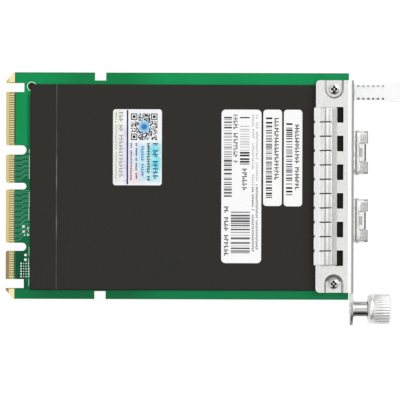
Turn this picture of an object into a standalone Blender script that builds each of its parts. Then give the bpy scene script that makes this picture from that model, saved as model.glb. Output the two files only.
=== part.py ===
"""Network mezzanine card for a server, small form factor.

A circuit board carries a card-edge tongue at one end and a folded input/output bracket at the other. Two
cages for pluggable modules pass through the bracket, a finned heatsink stands on the controller chip, a
black insulator covers the secondary side, and a sprung captive thumbscrew holds the card in its bay.

The card lies on its component side, as on a bench, with the insulator up. X runs from the tongue's tip to
the front, Y across the card, Z up. Lengths are metres, and places are measured from the middle of the
tongue's tip, on the surface that the card lies on, until the card's frame moves them all.
"""

import math

import bmesh
import bpy
from mathutils import Matrix, Vector

MM = 0.001

# Fits, facets, how far a cutter reaches past its piece, and how close two levels count as the same
FIT = 0.05 * MM
CUT = 1.0 * MM
TOUCH = 0.01 * MM
ROUND = 24
SMALL_ROUND = 12
SHARP_ANGLE = math.radians(35)

# Circuit board
BOARD_LENGTH = 115.0 * MM
BOARD_THICKNESS = 1.57 * MM
GUIDE_NOTCH_X = 29.8 * MM
GUIDE_NOTCH_LENGTH = 3.75 * MM
GUIDE_NOTCH_DEPTH = 2.65 * MM
TOOLING_HOLE_X = 8.6 * MM
TOOLING_HOLE_FROM_EDGE = 4.7 * MM
TOOLING_HOLE_RADIUS = 0.65 * MM

# Card-edge tongue: contacts in four groups, with key slots between the groups
CONTACT_PITCH = 0.6 * MM
CONTACT_WIDTH = 0.38 * MM
CONTACT_LENGTH = 1.75 * MM
CONTACT_RISE = 0.05 * MM
LONG_GROUP_COUNT = 28
SHORT_GROUP_COUNT = 14
CONTACT_COUNTS = (LONG_GROUP_COUNT, SHORT_GROUP_COUNT, LONG_GROUP_COUNT, SHORT_GROUP_COUNT)
GROUP_MARGIN = 0.85 * MM
KEY_SLOTS = (3.1 * MM, 2.2 * MM, 2.7 * MM)
KEY_DEPTH = 6.9 * MM
KEY_CORNER = 0.45 * MM
END_SLOT = 3.0 * MM
END_SLOT_DEPTH = 6.1 * MM
TIP_BEVEL = 1.05 * MM
TIP_BEVEL_ANGLE = math.radians(20)
BEVEL_BLOCK = 6.0 * MM
LEAD_IN_LENGTH = 2.8 * MM
LEAD_IN_WIDTH = 3.0 * MM
CORNER_TAB_TIP = 0.6 * MM

# Folded bracket
SHEET = 1.0 * MM
BEND = 2.0 * MM
BRACKET_INSET = 2.4 * MM
BRACKET_HEIGHT = 15.6 * MM
FLANGE_DEPTH = 12.8 * MM
FLANGE_CORNER = 1.3 * MM
FLANGE_STANDOFF = 2.3 * MM
FACE_GAP = 1.7 * MM
SIDE_FLANGE_DEPTH = 9.0 * MM
SIDE_FLANGE_CLEARANCE = 0.5 * MM
EAR_RADIUS = 5.5 * MM
EAR_INSET = 0.05 * MM
POCKET_RADIUS = 3.2 * MM
POCKET_SLOPE = 0.6 * MM
POCKET_WALL = 0.6 * MM
FRONT_SCREW_FROM_EDGE = 3.0 * MM
FRONT_SCREW_SETBACK = 6.7 * MM

# Gasket strips: slotted springs clipped over the flanges
GASKET_PITCH = 4.8 * MM
GASKET_FINGERS = 11
GASKET_SHEET = 0.12 * MM
GASKET_RISE = 1.0 * MM
GASKET_SLOT = 0.45 * MM
GASKET_LIP = 0.65 * MM
GASKET_HOOK = 1.5 * MM
GASKET_CURL = 0.25 * MM
GASKET_EDGE_STEP = 0.1 * MM
GASKET_HOOK_TURN = 0.15 * MM
GASKET_HOOK_SETBACK = 0.35 * MM
GASKET_HOOK_GAP = 0.3 * MM
BULGE_START = 1.1 * MM
BULGE_LENGTH = 4.3 * MM
BULGE_SHAPE = 1.5
BULGE_MARGIN = 0.2 * MM
WINDOW_SETBACK = 3.6 * MM
WINDOW_LENGTH = 2.4 * MM
WINDOW_WIDTH = 5.2 * MM
SIDE_GASKET_FINGERS = 2
SIDE_GASKET_PITCH = 3.6 * MM
SIDE_GASKET_TAIL = 0.6 * MM

# Captive thumbscrew on the bracket's ear
THUMBSCREW_OUTSIDE = 5.6 * MM
THUMBSCREW_TRAVEL = 3.6 * MM
SLEEVE_RADIUS = 2.45 * MM
TRAVEL_CLEARANCE = 0.2 * MM
SLEEVE_BORE = 1.95 * MM
SLEEVE_FLOOR = 0.8 * MM
SLEEVE_LIP = 0.4 * MM
SLEEVE_NECK = 2.2 * MM
SLEEVE_COLLAR = 2.9 * MM
SLEEVE_COLLAR_THICKNESS = 0.4 * MM
SLEEVE_EDGE = 0.2 * MM
THREAD_RADIUS = 1.45 * MM
THREAD_LENGTH = 3.8 * MM
THREAD_CLEARANCE = 0.15 * MM
THREAD_TIP_INSET = 0.3 * MM
THREAD_POINT = 0.4 * MM
SHANK_RADIUS = 1.15 * MM
STOP_COLLAR = 1.8 * MM
STOP_THICKNESS = 0.5 * MM
KNOB_RADIUS = 5.1 * MM
KNOB_LENGTH = 7.5 * MM
KNOB_STANDOFF = 5.05 * MM
KNOB_SHOULDER = 1.9 * MM
KNOB_CHAMFER = 0.8 * MM
KNOB_EDGE = 0.4 * MM
KNOB_CAVITY = 3.15 * MM
KNOB_CAVITY_DEPTH = 5.6 * MM
SCREW_SINK = 0.3 * MM
KNURLS = 26
KNURL_RADIUS = 0.3 * MM
KNOB_SPRING_WIRE = 0.24 * MM
KNOB_SPRING_TURNS = 4

# Pull tab
TAB_FROM_EDGE = 3.9 * MM
TAB_THICKNESS = 5.0 * MM
TAB_HEIGHT = 7.4 * MM
TAB_REACH = 28.0 * MM
TAB_NECK = 2.6 * MM
TAB_ANCHOR = 1.6 * MM
TAB_HEAD_THICKNESS = 6.2 * MM
TAB_HEAD_START = 10.6 * MM
TAB_HEAD_BLEND = 2.6 * MM
TAB_NOTCHES = 6
TAB_NOTCH_PITCH = 1.65 * MM
TAB_NOTCH_RADIUS = 0.5 * MM
TAB_NOTCH_DEPTH = 0.75 * MM
TAB_NOTCH_START = 1.6 * MM

# Module cages
CAGE_SPREAD = 11.45 * MM
CAGE_LENGTH = 48.8 * MM
CAGE_WIDTH = 14.0 * MM
CAGE_HEIGHT = 9.6 * MM
CAGE_SHEET = 0.25 * MM
CAGE_PROTRUSION = 4.8 * MM
LATCH_WIDTH = 5.7 * MM
LATCH_SLIT = 0.35 * MM
LATCH_LENGTH = 9.0 * MM
LATCH_SETBACK = 0.8 * MM
LATCH_HOLE_WIDTH = 3.0 * MM
LATCH_HOLE_LENGTH = 1.6 * MM
LATCH_HOLE_SETBACK = 2.2 * MM
CAGE_BASE_CLEARANCE = 2.0 * MM
COLLAR_LENGTH = 6.1 * MM
COLLAR_BAND = 2.7 * MM
COLLAR_BULGE = 0.5 * MM
COLLAR_CLOSING = 0.9
COLLAR_SHAPE = 1.2
COLLAR_SHEET = 0.15 * MM
COLLAR_CORNER = 1.0 * MM
COLLAR_GAP = 0.3 * MM
COLLAR_GAP_RISE = 1.5 * MM
APERTURE_GAP = 0.15 * MM
VENT_RADIUS = 1.1 * MM
VENT_PITCH = 3.4 * MM
RECEPTACLE_LENGTH = 8.6 * MM
RECEPTACLE_HEIGHT = 8.6 * MM
RECEPTACLE_SLOT_DEPTH = 5.0 * MM
RECEPTACLE_SLOT_LEVEL = 5.4 * MM
RECEPTACLE_SLOT_HEIGHT = 1.6 * MM
RECEPTACLE_WALL = 0.9 * MM
RECEPTACLE_SIDE_GAP = 0.7 * MM

# Insulator and labels on the secondary side
INSULATOR_START = 8.2 * MM
INSULATOR_FRONT_MARGIN = 1.1 * MM
INSULATOR_MARGIN_LEFT = 4.0 * MM
INSULATOR_MARGIN_RIGHT = 3.0 * MM
INSULATOR_THICKNESS = 0.25 * MM
CREASE_X = 17.0 * MM
CREASE_WIDTH = 0.5 * MM
CREASE_RISE = 0.15 * MM
SCREW_RELIEF = 4.6 * MM
LABEL_THICKNESS = 0.1 * MM
LABEL_CORNER = 0.9 * MM
LABEL_CODE_START = 27.7 * MM
LABEL_TO_FLANGE = 4.5 * MM
LABEL_TOP_EDGE = 25.7 * MM
LABEL_GAP = 0.6 * MM
LABEL_CODE_SIZE = (16.4 * MM, 25.5 * MM)
LABEL_PRODUCT_SIZE = (13.4 * MM, 51.5 * MM)
LABEL_SERIAL_SIZE = (6.3 * MM, 32.3 * MM)
LABEL_ADDRESS_SIZE = (6.2 * MM, 32.4 * MM)

# Heatsink and the chip under it
CHIP_SIZE = 25.0 * MM
CHIP_SUBSTRATE = 1.1 * MM
CHIP_LID = 19.0 * MM
CHIP_LID_HEIGHT = 1.2 * MM
PAD_THICKNESS = 0.3 * MM
PAD_MARGIN = 0.5 * MM
SINK_START = 24.0 * MM
SINK_TO_CAGE = 6.7 * MM
SINK_WIDTH = 47.0 * MM
SINK_BASE = 2.2 * MM
SINK_HEIGHT = 8.7 * MM
SINK_FINS = 14
FIN_THICKNESS = 1.0 * MM
SINK_SCREW_INSET = 4.2 * MM
SINK_SCREW_CLEARING = 8.0 * MM
SPRING_WIRE = 0.45 * MM
SPRING_RADIUS = 1.9 * MM
SPRING_HEIGHT = 4.2 * MM
SPRING_TURNS = 4
SINK_SHANK_RADIUS = 1.1 * MM
SINK_HEAD_RADIUS = 2.6 * MM
SINK_HEAD_HEIGHT = 1.3 * MM
SINK_HEAD_EDGE = 0.3 * MM
SINK_SCREW_START = 0.3 * MM
STANDOFF_RADIUS = 2.2 * MM
STANDOFF_BORE = 1.3 * MM

# Front screws and their board nuts
SCREW_HEAD_RADIUS = 1.85 * MM
SCREW_HEAD_HEIGHT = 0.9 * MM
SCREW_HEAD_DOME = 0.3 * MM
SCREW_TIP_INSET = 0.4 * MM
SCREW_SHANK_RADIUS = 1.0 * MM
SCREW_HOLE_RADIUS = 1.2 * MM
RECESS_LENGTH = 2.1 * MM
RECESS_WIDTH = 0.6 * MM
RECESS_DEPTH = 0.55 * MM
NUT_RADIUS = 1.9 * MM
NUT_HEIGHT = 3.0 * MM

# Light pipe for the port lamps
LIGHT_SPREAD = 1.8 * MM
LIGHT_HEIGHTS = (3.6 * MM, 7.1 * MM)
LIGHT_RADIUS = 0.75 * MM
LIGHT_BLOCK_LENGTH = 5.0 * MM
LIGHT_BLOCK_WIDTH = 6.0 * MM
LIGHT_BLOCK_SETBACK = 5.0 * MM
LIGHT_BLOCK_MARGIN = 0.4 * MM
LIGHT_PROUD = 0.2 * MM

# Small parts on the component side: the long edge that the middle is measured from, the middle's X and its
# distance from that edge, then length, width and height. The left edge is on the pull tab's side.
INDUCTORS = {
    "power_inductor_1": ("left", 17.5 * MM, 12.0 * MM, 7.0 * MM, 7.0 * MM, 3.2 * MM),
    "power_inductor_2": ("right", 17.5 * MM, 11.0 * MM, 7.0 * MM, 7.0 * MM, 3.2 * MM),
}
REGULATORS = {
    "regulator_1": ("left", 17.5 * MM, 21.5 * MM, 5.0 * MM, 6.0 * MM, 0.95 * MM),
    "regulator_2": ("right", 17.5 * MM, 20.5 * MM, 5.0 * MM, 6.0 * MM, 0.95 * MM),
}
CAPACITORS = {
    "polymer_capacitor_1": ("left", 26.0 * MM, 8.5 * MM, 4.3 * MM, 7.3 * MM, 2.8 * MM),
    "polymer_capacitor_2": ("right", 26.0 * MM, 8.5 * MM, 4.3 * MM, 7.3 * MM, 2.8 * MM),
    "polymer_capacitor_3": ("left", BOARD_LENGTH - 38.0 * MM, 8.5 * MM, 7.3 * MM, 4.3 * MM, 2.8 * MM),
    "polymer_capacitor_4": ("right", BOARD_LENGTH - 38.0 * MM, 8.5 * MM, 7.3 * MM, 4.3 * MM, 2.8 * MM),
}
FLASH_CHIP = ("left", BOARD_LENGTH - 20.0 * MM, 9.0 * MM, 5.3 * MM, 5.3 * MM, 1.9 * MM)
CRYSTAL = ("right", BOARD_LENGTH - 23.0 * MM, 10.5 * MM, 5.0 * MM, 3.2 * MM, 1.1 * MM)
INDUCTOR_EDGE = 0.5 * MM
CAPACITOR_EDGE = 0.25 * MM
CRYSTAL_EDGE = 0.2 * MM
FLASH_LEADS = 4
FLASH_LEAD_PITCH = 1.27 * MM
FLASH_LEAD_WIDTH = 0.42 * MM
FLASH_LEAD_THICKNESS = 0.25 * MM
FLASH_LEAD_ROOT = 0.3 * MM
FLASH_FOOT = 1.3 * MM
FLASH_STANDOFF = 0.15 * MM

# Levels and places that follow from the sizes above
GROUP_WIDTHS = [(count - 1) * CONTACT_PITCH + 2 * GROUP_MARGIN for count in CONTACT_COUNTS]
TONGUE_WIDTH = sum(GROUP_WIDTHS) + sum(KEY_SLOTS)
BOARD_WIDTH = TONGUE_WIDTH + 2 * (END_SLOT + LEAD_IN_WIDTH + CORNER_TAB_TIP)
BRACKET_WIDTH = BOARD_WIDTH - 2 * BRACKET_INSET
BRACKET_BOTTOM = GASKET_RISE
BRACKET_TOP = BRACKET_BOTTOM + BRACKET_HEIGHT
BRACKET_MIDDLE = (BRACKET_BOTTOM + BRACKET_TOP) / 2
BOARD_TOP = BRACKET_TOP - FLANGE_STANDOFF
BOARD_BOTTOM = BOARD_TOP - BOARD_THICKNESS
HANG = BOARD_BOTTOM - FIT
FRONT = BOARD_LENGTH + FACE_GAP
FLANGE_START = FRONT - FLANGE_DEPTH
WINDOW_END = FRONT - WINDOW_SETBACK
WINDOW_START = WINDOW_END - WINDOW_LENGTH
SCREW_X = FRONT - FRONT_SCREW_SETBACK
SCREW_Y = BRACKET_WIDTH / 2 - FRONT_SCREW_FROM_EDGE
POCKET_FLOOR = BOARD_TOP + FIT + SHEET
THUMB_Y = -BRACKET_WIDTH / 2 - THUMBSCREW_OUTSIDE
KNOB_CAVITY_END = KNOB_STANDOFF + KNOB_CAVITY_DEPTH
SLEEVE_LENGTH = KNOB_CAVITY_END - THUMBSCREW_TRAVEL - TRAVEL_CLEARANCE
TAB_Y = BRACKET_WIDTH / 2 - TAB_FROM_EDGE
CAGE_FRONT = FRONT + CAGE_PROTRUSION
CAGE_BACK = CAGE_FRONT - CAGE_LENGTH
VENT_COLUMNS = int((FLANGE_START - CAGE_BACK) / VENT_PITCH) - 2
SINK_LENGTH = CAGE_BACK - SINK_TO_CAGE - SINK_START
CHIP_X = SINK_START + SINK_LENGTH / 2
INSULATOR_END = BOARD_LENGTH - INSULATOR_FRONT_MARGIN
INSULATOR_TOP = BOARD_TOP + FIT + INSULATOR_THICKNESS
CENTRE_X = (FRONT + TAB_REACH) / 2
CENTRE_Y = (BOARD_WIDTH / 2 + THUMB_Y - EAR_RADIUS) / 2

# The way to each long edge of the board
SIDES = {"left": 1, "right": -1}

# Turns: a YZ outline to upright, a fold along Y to one along Z, a turned piece to lie along X or to hang
OUTLINE_TO_FRONT = Matrix(((0, 0, 1, 0), (1, 0, 0, 0), (0, 1, 0, 0), (0, 0, 0, 1)))
FOLD_TO_SIDE = Matrix(((1, 0, 0, 0), (0, 0, 1, 0), (0, 1, 0, 0), (0, 0, 0, 1)))
ALONG_X = (0, math.pi / 2, 0)
HANGING = (math.pi, 0, 0)


def clear_scene():
    for thing in list(bpy.data.objects):
        bpy.data.objects.remove(thing)


def collection_named(name):
    made = bpy.data.collections.new(name)
    bpy.context.scene.collection.children.link(made)
    return made


def finish_named(name, colour, roughness, metallic=0.0):
    """A plain Principled material in the piece's own colour."""
    made = bpy.data.materials.new(name)
    made.use_nodes = True
    shader = made.node_tree.nodes["Principled BSDF"]
    shader.inputs["Base Color"].default_value = (*colour, 1)
    shader.inputs["Roughness"].default_value = roughness
    shader.inputs["Metallic"].default_value = metallic
    return made


clear_scene()
PIECES = collection_named("mezzanine_network_card")
TOOLS = collection_named("cutters")
CARD = bpy.data.objects.new("card_frame", None)
CARD.location = (-CENTRE_X, -CENTRE_Y, 0)
PIECES.objects.link(CARD)

SOLDER_MASK = finish_named("green_solder_mask", (0.01, 0.25, 0.09), 0.35)
BLACK_FILM = finish_named("black_insulator_film", (0.035, 0.032, 0.03), 0.45)
LABEL_PAPER = finish_named("label_paper", (0.85, 0.85, 0.83), 0.6)
STEEL = finish_named("plated_steel", (0.72, 0.72, 0.71), 0.35, 1.0)
SPRING_METAL = finish_named("tinned_spring_metal", (0.75, 0.75, 0.74), 0.3, 1.0)
CAGE_METAL = finish_named("nickel_cage", (0.7, 0.69, 0.66), 0.3, 1.0)
NICKEL = finish_named("bright_nickel", (0.8, 0.8, 0.8), 0.2, 1.0)
BRASS = finish_named("tinned_brass", (0.7, 0.66, 0.55), 0.35, 1.0)
CLEAR_ELASTOMER = finish_named("milky_elastomer", (0.85, 0.86, 0.86), 0.4)
CLEAR_ACRYLIC = finish_named("clear_acrylic", (0.8, 0.82, 0.84), 0.1)
BLACK_PLASTIC = finish_named("black_moulding", (0.02, 0.02, 0.02), 0.5)
CHIP_RESIN = finish_named("chip_resin", (0.03, 0.03, 0.035), 0.5)
ALUMINIUM = finish_named("black_anodised_aluminium", (0.04, 0.04, 0.045), 0.4, 0.8)
PAD_GREY = finish_named("thermal_pad", (0.35, 0.37, 0.42), 0.8)
FERRITE = finish_named("ferrite_grey", (0.1, 0.1, 0.1), 0.7)


def placed(made, collection=None):
    """Puts an object in the card's frame."""
    (collection or PIECES).objects.link(made)
    made.parent = CARD
    return made


def mesh_of(name, work):
    """An object from a bmesh, its faces turned outwards."""
    bmesh.ops.recalc_face_normals(work, faces=work.faces)
    mesh = bpy.data.meshes.new(name)
    work.to_mesh(mesh)
    work.free()
    return placed(bpy.data.objects.new(name, mesh))


def finished(piece, material, smooth=False):
    """Gives a piece its finish, and shades a round one smooth."""
    piece.data.materials.clear()
    piece.data.materials.append(material)
    if smooth:
        piece.data.shade_smooth()
        piece.data.set_sharp_from_angle(angle=SHARP_ANGLE)
    return piece


def blocks(name, spans):
    """One mesh of cubes, each spanning from a low corner to a high one."""
    work = bmesh.new()
    for low, high in spans:
        low, high = Vector(low), Vector(high)
        size = Matrix.Diagonal((*(high - low), 1))
        bmesh.ops.create_cube(work, size=1, matrix=Matrix.Translation((low + high) / 2) @ size)
    return mesh_of(name, work)


def rods(name, places, radius, length, along_x=False, sides=SMALL_ROUND):
    """One mesh of round rods of the same size, each centred on its place."""
    work = bmesh.new()
    turn = Matrix.Rotation(math.pi / 2, 4, "Y") if along_x else Matrix.Identity(4)
    for place in places:
        bmesh.ops.create_cone(
            work, cap_ends=True, segments=sides, radius1=radius, radius2=radius,
            depth=length, matrix=Matrix.Translation(place) @ turn)
    return mesh_of(name, work)


def plate(name, outline, low, high, upright=False):
    """A flat outline given thickness from low to high, in the XY plane or upright in the YZ plane."""
    curve = bpy.data.curves.new(name, "CURVE")
    curve.dimensions = "2D"
    curve.fill_mode = "BOTH"
    curve.extrude = (high - low) / 2
    spline = curve.splines.new("POLY")
    spline.points.add(len(outline) - 1)
    for point, (u, v) in zip(spline.points, outline):
        point.co = (u, v, 0, 1)
    spline.use_cyclic_u = True
    drawn = placed(bpy.data.objects.new(name, curve))
    bpy.context.view_layer.update()
    evaluated = drawn.evaluated_get(bpy.context.evaluated_depsgraph_get())
    mesh = bpy.data.meshes.new_from_object(evaluated)
    work = bmesh.new()
    work.from_mesh(mesh)
    bpy.data.meshes.remove(mesh)
    bpy.data.objects.remove(drawn)
    bmesh.ops.remove_doubles(work, verts=work.verts, dist=0.001 * MM)
    bmesh.ops.dissolve_limit(work, angle_limit=0.001, verts=work.verts, edges=work.edges)
    bmesh.ops.translate(work, verts=work.verts, vec=(0, 0, (low + high) / 2))
    if upright:
        bmesh.ops.transform(work, verts=work.verts, matrix=OUTLINE_TO_FRONT)
    return mesh_of(name, work)


def turned(name, profile, place, rotation=(0, 0, 0), closed=False, steps=ROUND):
    """A profile of (radius, height) points, from the top down its outer side, turned about its own axis."""
    count = len(profile)
    edges = [(i, i + 1) for i in range(count - 1)] + ([(count - 1, 0)] if closed else [])
    mesh = bpy.data.meshes.new(name)
    mesh.from_pydata([(radius, 0, height) for radius, height in profile], edges, [])
    made = placed(bpy.data.objects.new(name, mesh))
    made.location = place
    made.rotation_euler = rotation
    screw = made.modifiers.new("turn", "SCREW")
    screw.steps = screw.render_steps = steps
    screw.use_merge_vertices = True
    screw.merge_threshold = 0.005 * MM
    return made


def fold(name, path, across, thickness, bend_radius=0.0, segments=5, corner=0.0):
    """Sheet metal: a path of (x, z) points drawn out across Y, and bent at its inner points."""
    work = bmesh.new()
    near = [work.verts.new((x, across[0], z)) for x, z in path]
    edges = [work.edges.new(pair) for pair in zip(near, near[1:])]
    drawn = bmesh.ops.extrude_edge_only(work, edges=edges)["geom"]
    far = [part for part in drawn if isinstance(part, bmesh.types.BMVert)]
    bmesh.ops.translate(work, verts=far, vec=(0, across[1] - across[0], 0))
    if corner:
        ends = [v for v in work.verts if len(v.link_edges) == 2]
        bmesh.ops.bevel(
            work, geom=ends, offset=corner, segments=3, affect="VERTICES", profile=0.5)
    if bend_radius:
        bends = [e for e in work.edges if e.calc_face_angle(0) > SHARP_ANGLE]
        bmesh.ops.bevel(
            work, geom=bends, offset=bend_radius, segments=segments, affect="EDGES", profile=0.5)
    made = mesh_of(name, work)
    sheet = made.modifiers.new("sheet", "SOLIDIFY")
    sheet.thickness = thickness
    sheet.offset = 0
    sheet.use_even_offset = True
    return made


def coil(name, radius, wire, length, turns, place, rotation=(0, 0, 0)):
    """A compression spring with closed end turns, standing on its place along its own Z."""
    points_per_turn = 10
    closed_rise = 1.15 * wire
    count = turns * points_per_turn
    free_rise = (length - wire - 2 * closed_rise) / (turns - 2)
    curve = bpy.data.curves.new(name, "CURVE")
    curve.dimensions = "3D"
    curve.bevel_depth = wire / 2
    curve.bevel_resolution = 2
    curve.use_fill_caps = True
    spline = curve.splines.new("POLY")
    spline.points.add(count)
    for step, point in enumerate(spline.points):
        turn = step / points_per_turn
        end_turns = min(turn, 1) + max(turn - (turns - 1), 0)
        height = wire / 2 + end_turns * closed_rise + (turn - end_turns) * free_rise
        angle = math.tau * turn
        point.co = (radius * math.cos(angle), radius * math.sin(angle), height, 1)
    made = placed(bpy.data.objects.new(name, curve))
    made.location = place
    made.rotation_euler = rotation
    return made


def boolean(piece, tool, operation):
    """Cuts or joins a piece with a tool, which is kept as a hidden helper."""
    change = piece.modifiers.new(tool.name, "BOOLEAN")
    change.operation = operation
    change.object = tool
    PIECES.objects.unlink(tool)
    TOOLS.objects.link(tool)
    tool.hide_render = True
    tool.display_type = "WIRE"
    return piece


def cut(piece, tool):
    return boolean(piece, tool, "DIFFERENCE")


def join(piece, tool):
    return boolean(piece, tool, "UNION")


def softened(piece, width, segments=1):
    """Breaks the sharp edges of a piece."""
    bevel = piece.modifiers.new("broken_edges", "BEVEL")
    bevel.width = width
    bevel.segments = segments
    bevel.limit_method = "ANGLE"
    return piece


def arc(centre, radius, start, end, steps=8):
    """Points on an arc between two angles in degrees."""
    angles = [math.radians(start + (end - start) * i / steps) for i in range(steps + 1)]
    return [(centre[0] + radius * math.cos(a), centre[1] + radius * math.sin(a)) for a in angles]


def rounded_rectangle(x_low, x_high, y_low, y_high, radius, steps=4):
    corners = (
        ((x_high - radius, y_high - radius), 0),
        ((x_low + radius, y_high - radius), 90),
        ((x_low + radius, y_low + radius), 180),
        ((x_high - radius, y_low + radius), 270),
    )
    return [p for centre, start in corners for p in arc(centre, radius, start, start + 90, steps)]


def contact_group_spans():
    """The (high Y, low Y) edges of each contact group, from the pull-tab side down."""
    edge = TONGUE_WIDTH / 2
    spans = []
    for width, slot in zip(GROUP_WIDTHS, (*KEY_SLOTS, 0)):
        spans.append((edge, edge - width))
        edge -= width + slot
    return spans


def key_slot(high, low):
    """A key slot's outline from its high edge to its low one, with broken corners and a full round end."""
    radius = (high - low) / 2
    return [
        (0, high + KEY_CORNER),
        (KEY_CORNER, high),
        *arc((KEY_DEPTH - radius, (high + low) / 2), radius, 90, -90),
        (KEY_CORNER, low),
        (0, low - KEY_CORNER),
    ]


def end_slot(high, low):
    return [(0, high), (END_SLOT_DEPTH, high), (END_SLOT_DEPTH, low), (0, low)]


def board_outline():
    """The board seen from above, from its front corner on the pull-tab side back, across and forward."""
    side = BOARD_WIDTH / 2
    notch_end = GUIDE_NOTCH_X + GUIDE_NOTCH_LENGTH
    notched_side = [
        (BOARD_LENGTH, side),
        (notch_end, side),
        (notch_end, side - GUIDE_NOTCH_DEPTH),
        (GUIDE_NOTCH_X, side - GUIDE_NOTCH_DEPTH),
        (GUIDE_NOTCH_X, side),
        (LEAD_IN_LENGTH, side),
        (0, side - LEAD_IN_WIDTH),
    ]
    spans = contact_group_spans()
    tongue = end_slot(spans[0][0] + END_SLOT, spans[0][0])
    for (_, high), (low, _) in zip(spans, spans[1:]):
        tongue += key_slot(high, low)
    tongue += end_slot(spans[-1][1], spans[-1][1] - END_SLOT)
    far_side = [(x, -y) for x, y in reversed(notched_side)]
    return notched_side + tongue + far_side


def contact_pads():
    """The gold contacts on both faces, and the ground pad on each corner tab."""
    start = TIP_BEVEL + FIT
    faces = (
        (BOARD_TOP - CONTACT_RISE, BOARD_TOP + CONTACT_RISE),
        (BOARD_BOTTOM - CONTACT_RISE, BOARD_BOTTOM + CONTACT_RISE),
    )
    spans = []
    for (high, _), count in zip(contact_group_spans(), CONTACT_COUNTS):
        for index in range(count):
            middle = high - GROUP_MARGIN - index * CONTACT_PITCH
            for bottom, top in faces:
                spans.append((
                    (start, middle - CONTACT_WIDTH / 2, bottom),
                    (start + CONTACT_LENGTH, middle + CONTACT_WIDTH / 2, top),
                ))
    return blocks("contact_pads", spans)


def tip_bevels():
    """Two slanting blocks that bevel both faces of the tongue's tip."""
    work = bmesh.new()
    depth = TIP_BEVEL * math.tan(TIP_BEVEL_ANGLE)
    for side, level in ((1, BOARD_TOP), (-1, BOARD_BOTTOM)):
        edge = Matrix.Translation((0, 0, level - side * depth))
        lean = Matrix.Rotation(-side * TIP_BEVEL_ANGLE, 4, "Y")
        size = Matrix.Diagonal((BEVEL_BLOCK, BOARD_WIDTH + 2 * CUT, BEVEL_BLOCK, 1))
        up = Matrix.Translation((0, 0, side * BEVEL_BLOCK / 2))
        bmesh.ops.create_cube(work, size=1, matrix=edge @ lean @ up @ size)
    return mesh_of("tip_bevels", work)


def circuit_board():
    board = plate("circuit_board", board_outline(), BOARD_BOTTOM, BOARD_TOP)
    cut(board, tip_bevels())
    join(board, contact_pads())
    middle = (BOARD_TOP + BOARD_BOTTOM) / 2
    through = BOARD_THICKNESS + 2 * CUT
    holes = [(SCREW_X, side * SCREW_Y, middle) for side in (1, -1)]
    cut(board, rods("board_screw_holes", holes, SCREW_HOLE_RADIUS, through))
    tooling = (TOOLING_HOLE_X, BOARD_WIDTH / 2 - TOOLING_HOLE_FROM_EDGE, middle)
    cut(board, rods("tooling_hole", [tooling], TOOLING_HOLE_RADIUS, through))
    return finished(board, SOLDER_MASK)


def insulator():
    """Black film over the secondary side, with one crease and two corners cut away for the screws."""
    level = BOARD_TOP + FIT + INSULATOR_THICKNESS / 2
    crease = [(CREASE_X + i * CREASE_WIDTH / 2, level + (i == 0) * CREASE_RISE) for i in (-1, 0, 1)]
    path = [(INSULATOR_START, level), *crease, (INSULATOR_END, level)]
    low = -BOARD_WIDTH / 2 + INSULATOR_MARGIN_RIGHT
    high = BOARD_WIDTH / 2 - INSULATOR_MARGIN_LEFT
    film = fold("insulator", path, (low, high), INSULATOR_THICKNESS)
    reliefs = []
    for side in (1, -1):
        inner = side * (SCREW_Y - SCREW_RELIEF)
        outer = side * BOARD_WIDTH / 2
        reliefs.append((
            (SCREW_X - SCREW_RELIEF, min(inner, outer), BOARD_TOP - CUT),
            (FRONT, max(inner, outer), BOARD_TOP + CUT),
        ))
    cut(film, blocks("screw_reliefs", reliefs))
    return finished(film, BLACK_FILM)


def label(name, x_low, size):
    """A sticker on the insulator. The upper edges of all of them are in line."""
    length, width = size
    outline = rounded_rectangle(
        x_low, x_low + length, LABEL_TOP_EDGE - width, LABEL_TOP_EDGE, LABEL_CORNER)
    bottom = INSULATOR_TOP + FIT
    finished(plate(name, outline, bottom, bottom + LABEL_THICKNESS), LABEL_PAPER)


def labels():
    """One square sticker near the tongue, and three narrow ones side by side behind the flange."""
    label("label_code", INSULATOR_START + LABEL_CODE_START, LABEL_CODE_SIZE)
    x = FLANGE_START - LABEL_TO_FLANGE
    for name, size in (
        ("label_address", LABEL_ADDRESS_SIZE),
        ("label_serial", LABEL_SERIAL_SIZE),
        ("label_product", LABEL_PRODUCT_SIZE),
    ):
        x -= size[0]
        label(name, x, size)
        x -= LABEL_GAP


def pocket_outline(radius, side):
    """A U open to the flange's end: half round towards the card's middle, straight to past the edge."""
    centre = (SCREW_X, side * SCREW_Y)
    edge = side * (BRACKET_WIDTH / 2 + CUT)
    half_round = arc(centre, radius, 180, 0) if side < 0 else arc(centre, radius, 0, -180)
    return [(half_round[0][0], edge), *half_round, (half_round[-1][0], edge)]


def drawn_pocket(name, radius, side, low, high):
    """A block of the pocket's outline whose lower edge slopes in, as drawn metal does."""
    block = plate(name, pocket_outline(radius, side), low, high)
    work = bmesh.new()
    work.from_mesh(block.data)
    lower = [
        e for e in work.edges
        if all(abs(v.co.z - low) < TOUCH for v in e.verts) and e.calc_face_angle(0) > SHARP_ANGLE
        and not all(abs(v.co.y) > BRACKET_WIDTH / 2 for v in e.verts)
    ]
    bmesh.ops.bevel(work, geom=lower, offset=POCKET_SLOPE, segments=1, affect="EDGES")
    work.to_mesh(block.data)
    work.free()
    return block


def gasket_window_spans():
    """The flange windows, one at every second gasket finger, on both flanges."""
    half = (GASKET_FINGERS - 1) // 2
    spans = []
    for index in range(-half, half + 1, 2):
        middle = index * GASKET_PITCH
        for level in (BRACKET_BOTTOM, BRACKET_TOP):
            spans.append((
                (WINDOW_START, middle - WINDOW_WIDTH / 2, level - SHEET - CUT),
                (WINDOW_END, middle + WINDOW_WIDTH / 2, level + SHEET + CUT),
            ))
    return spans


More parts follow.
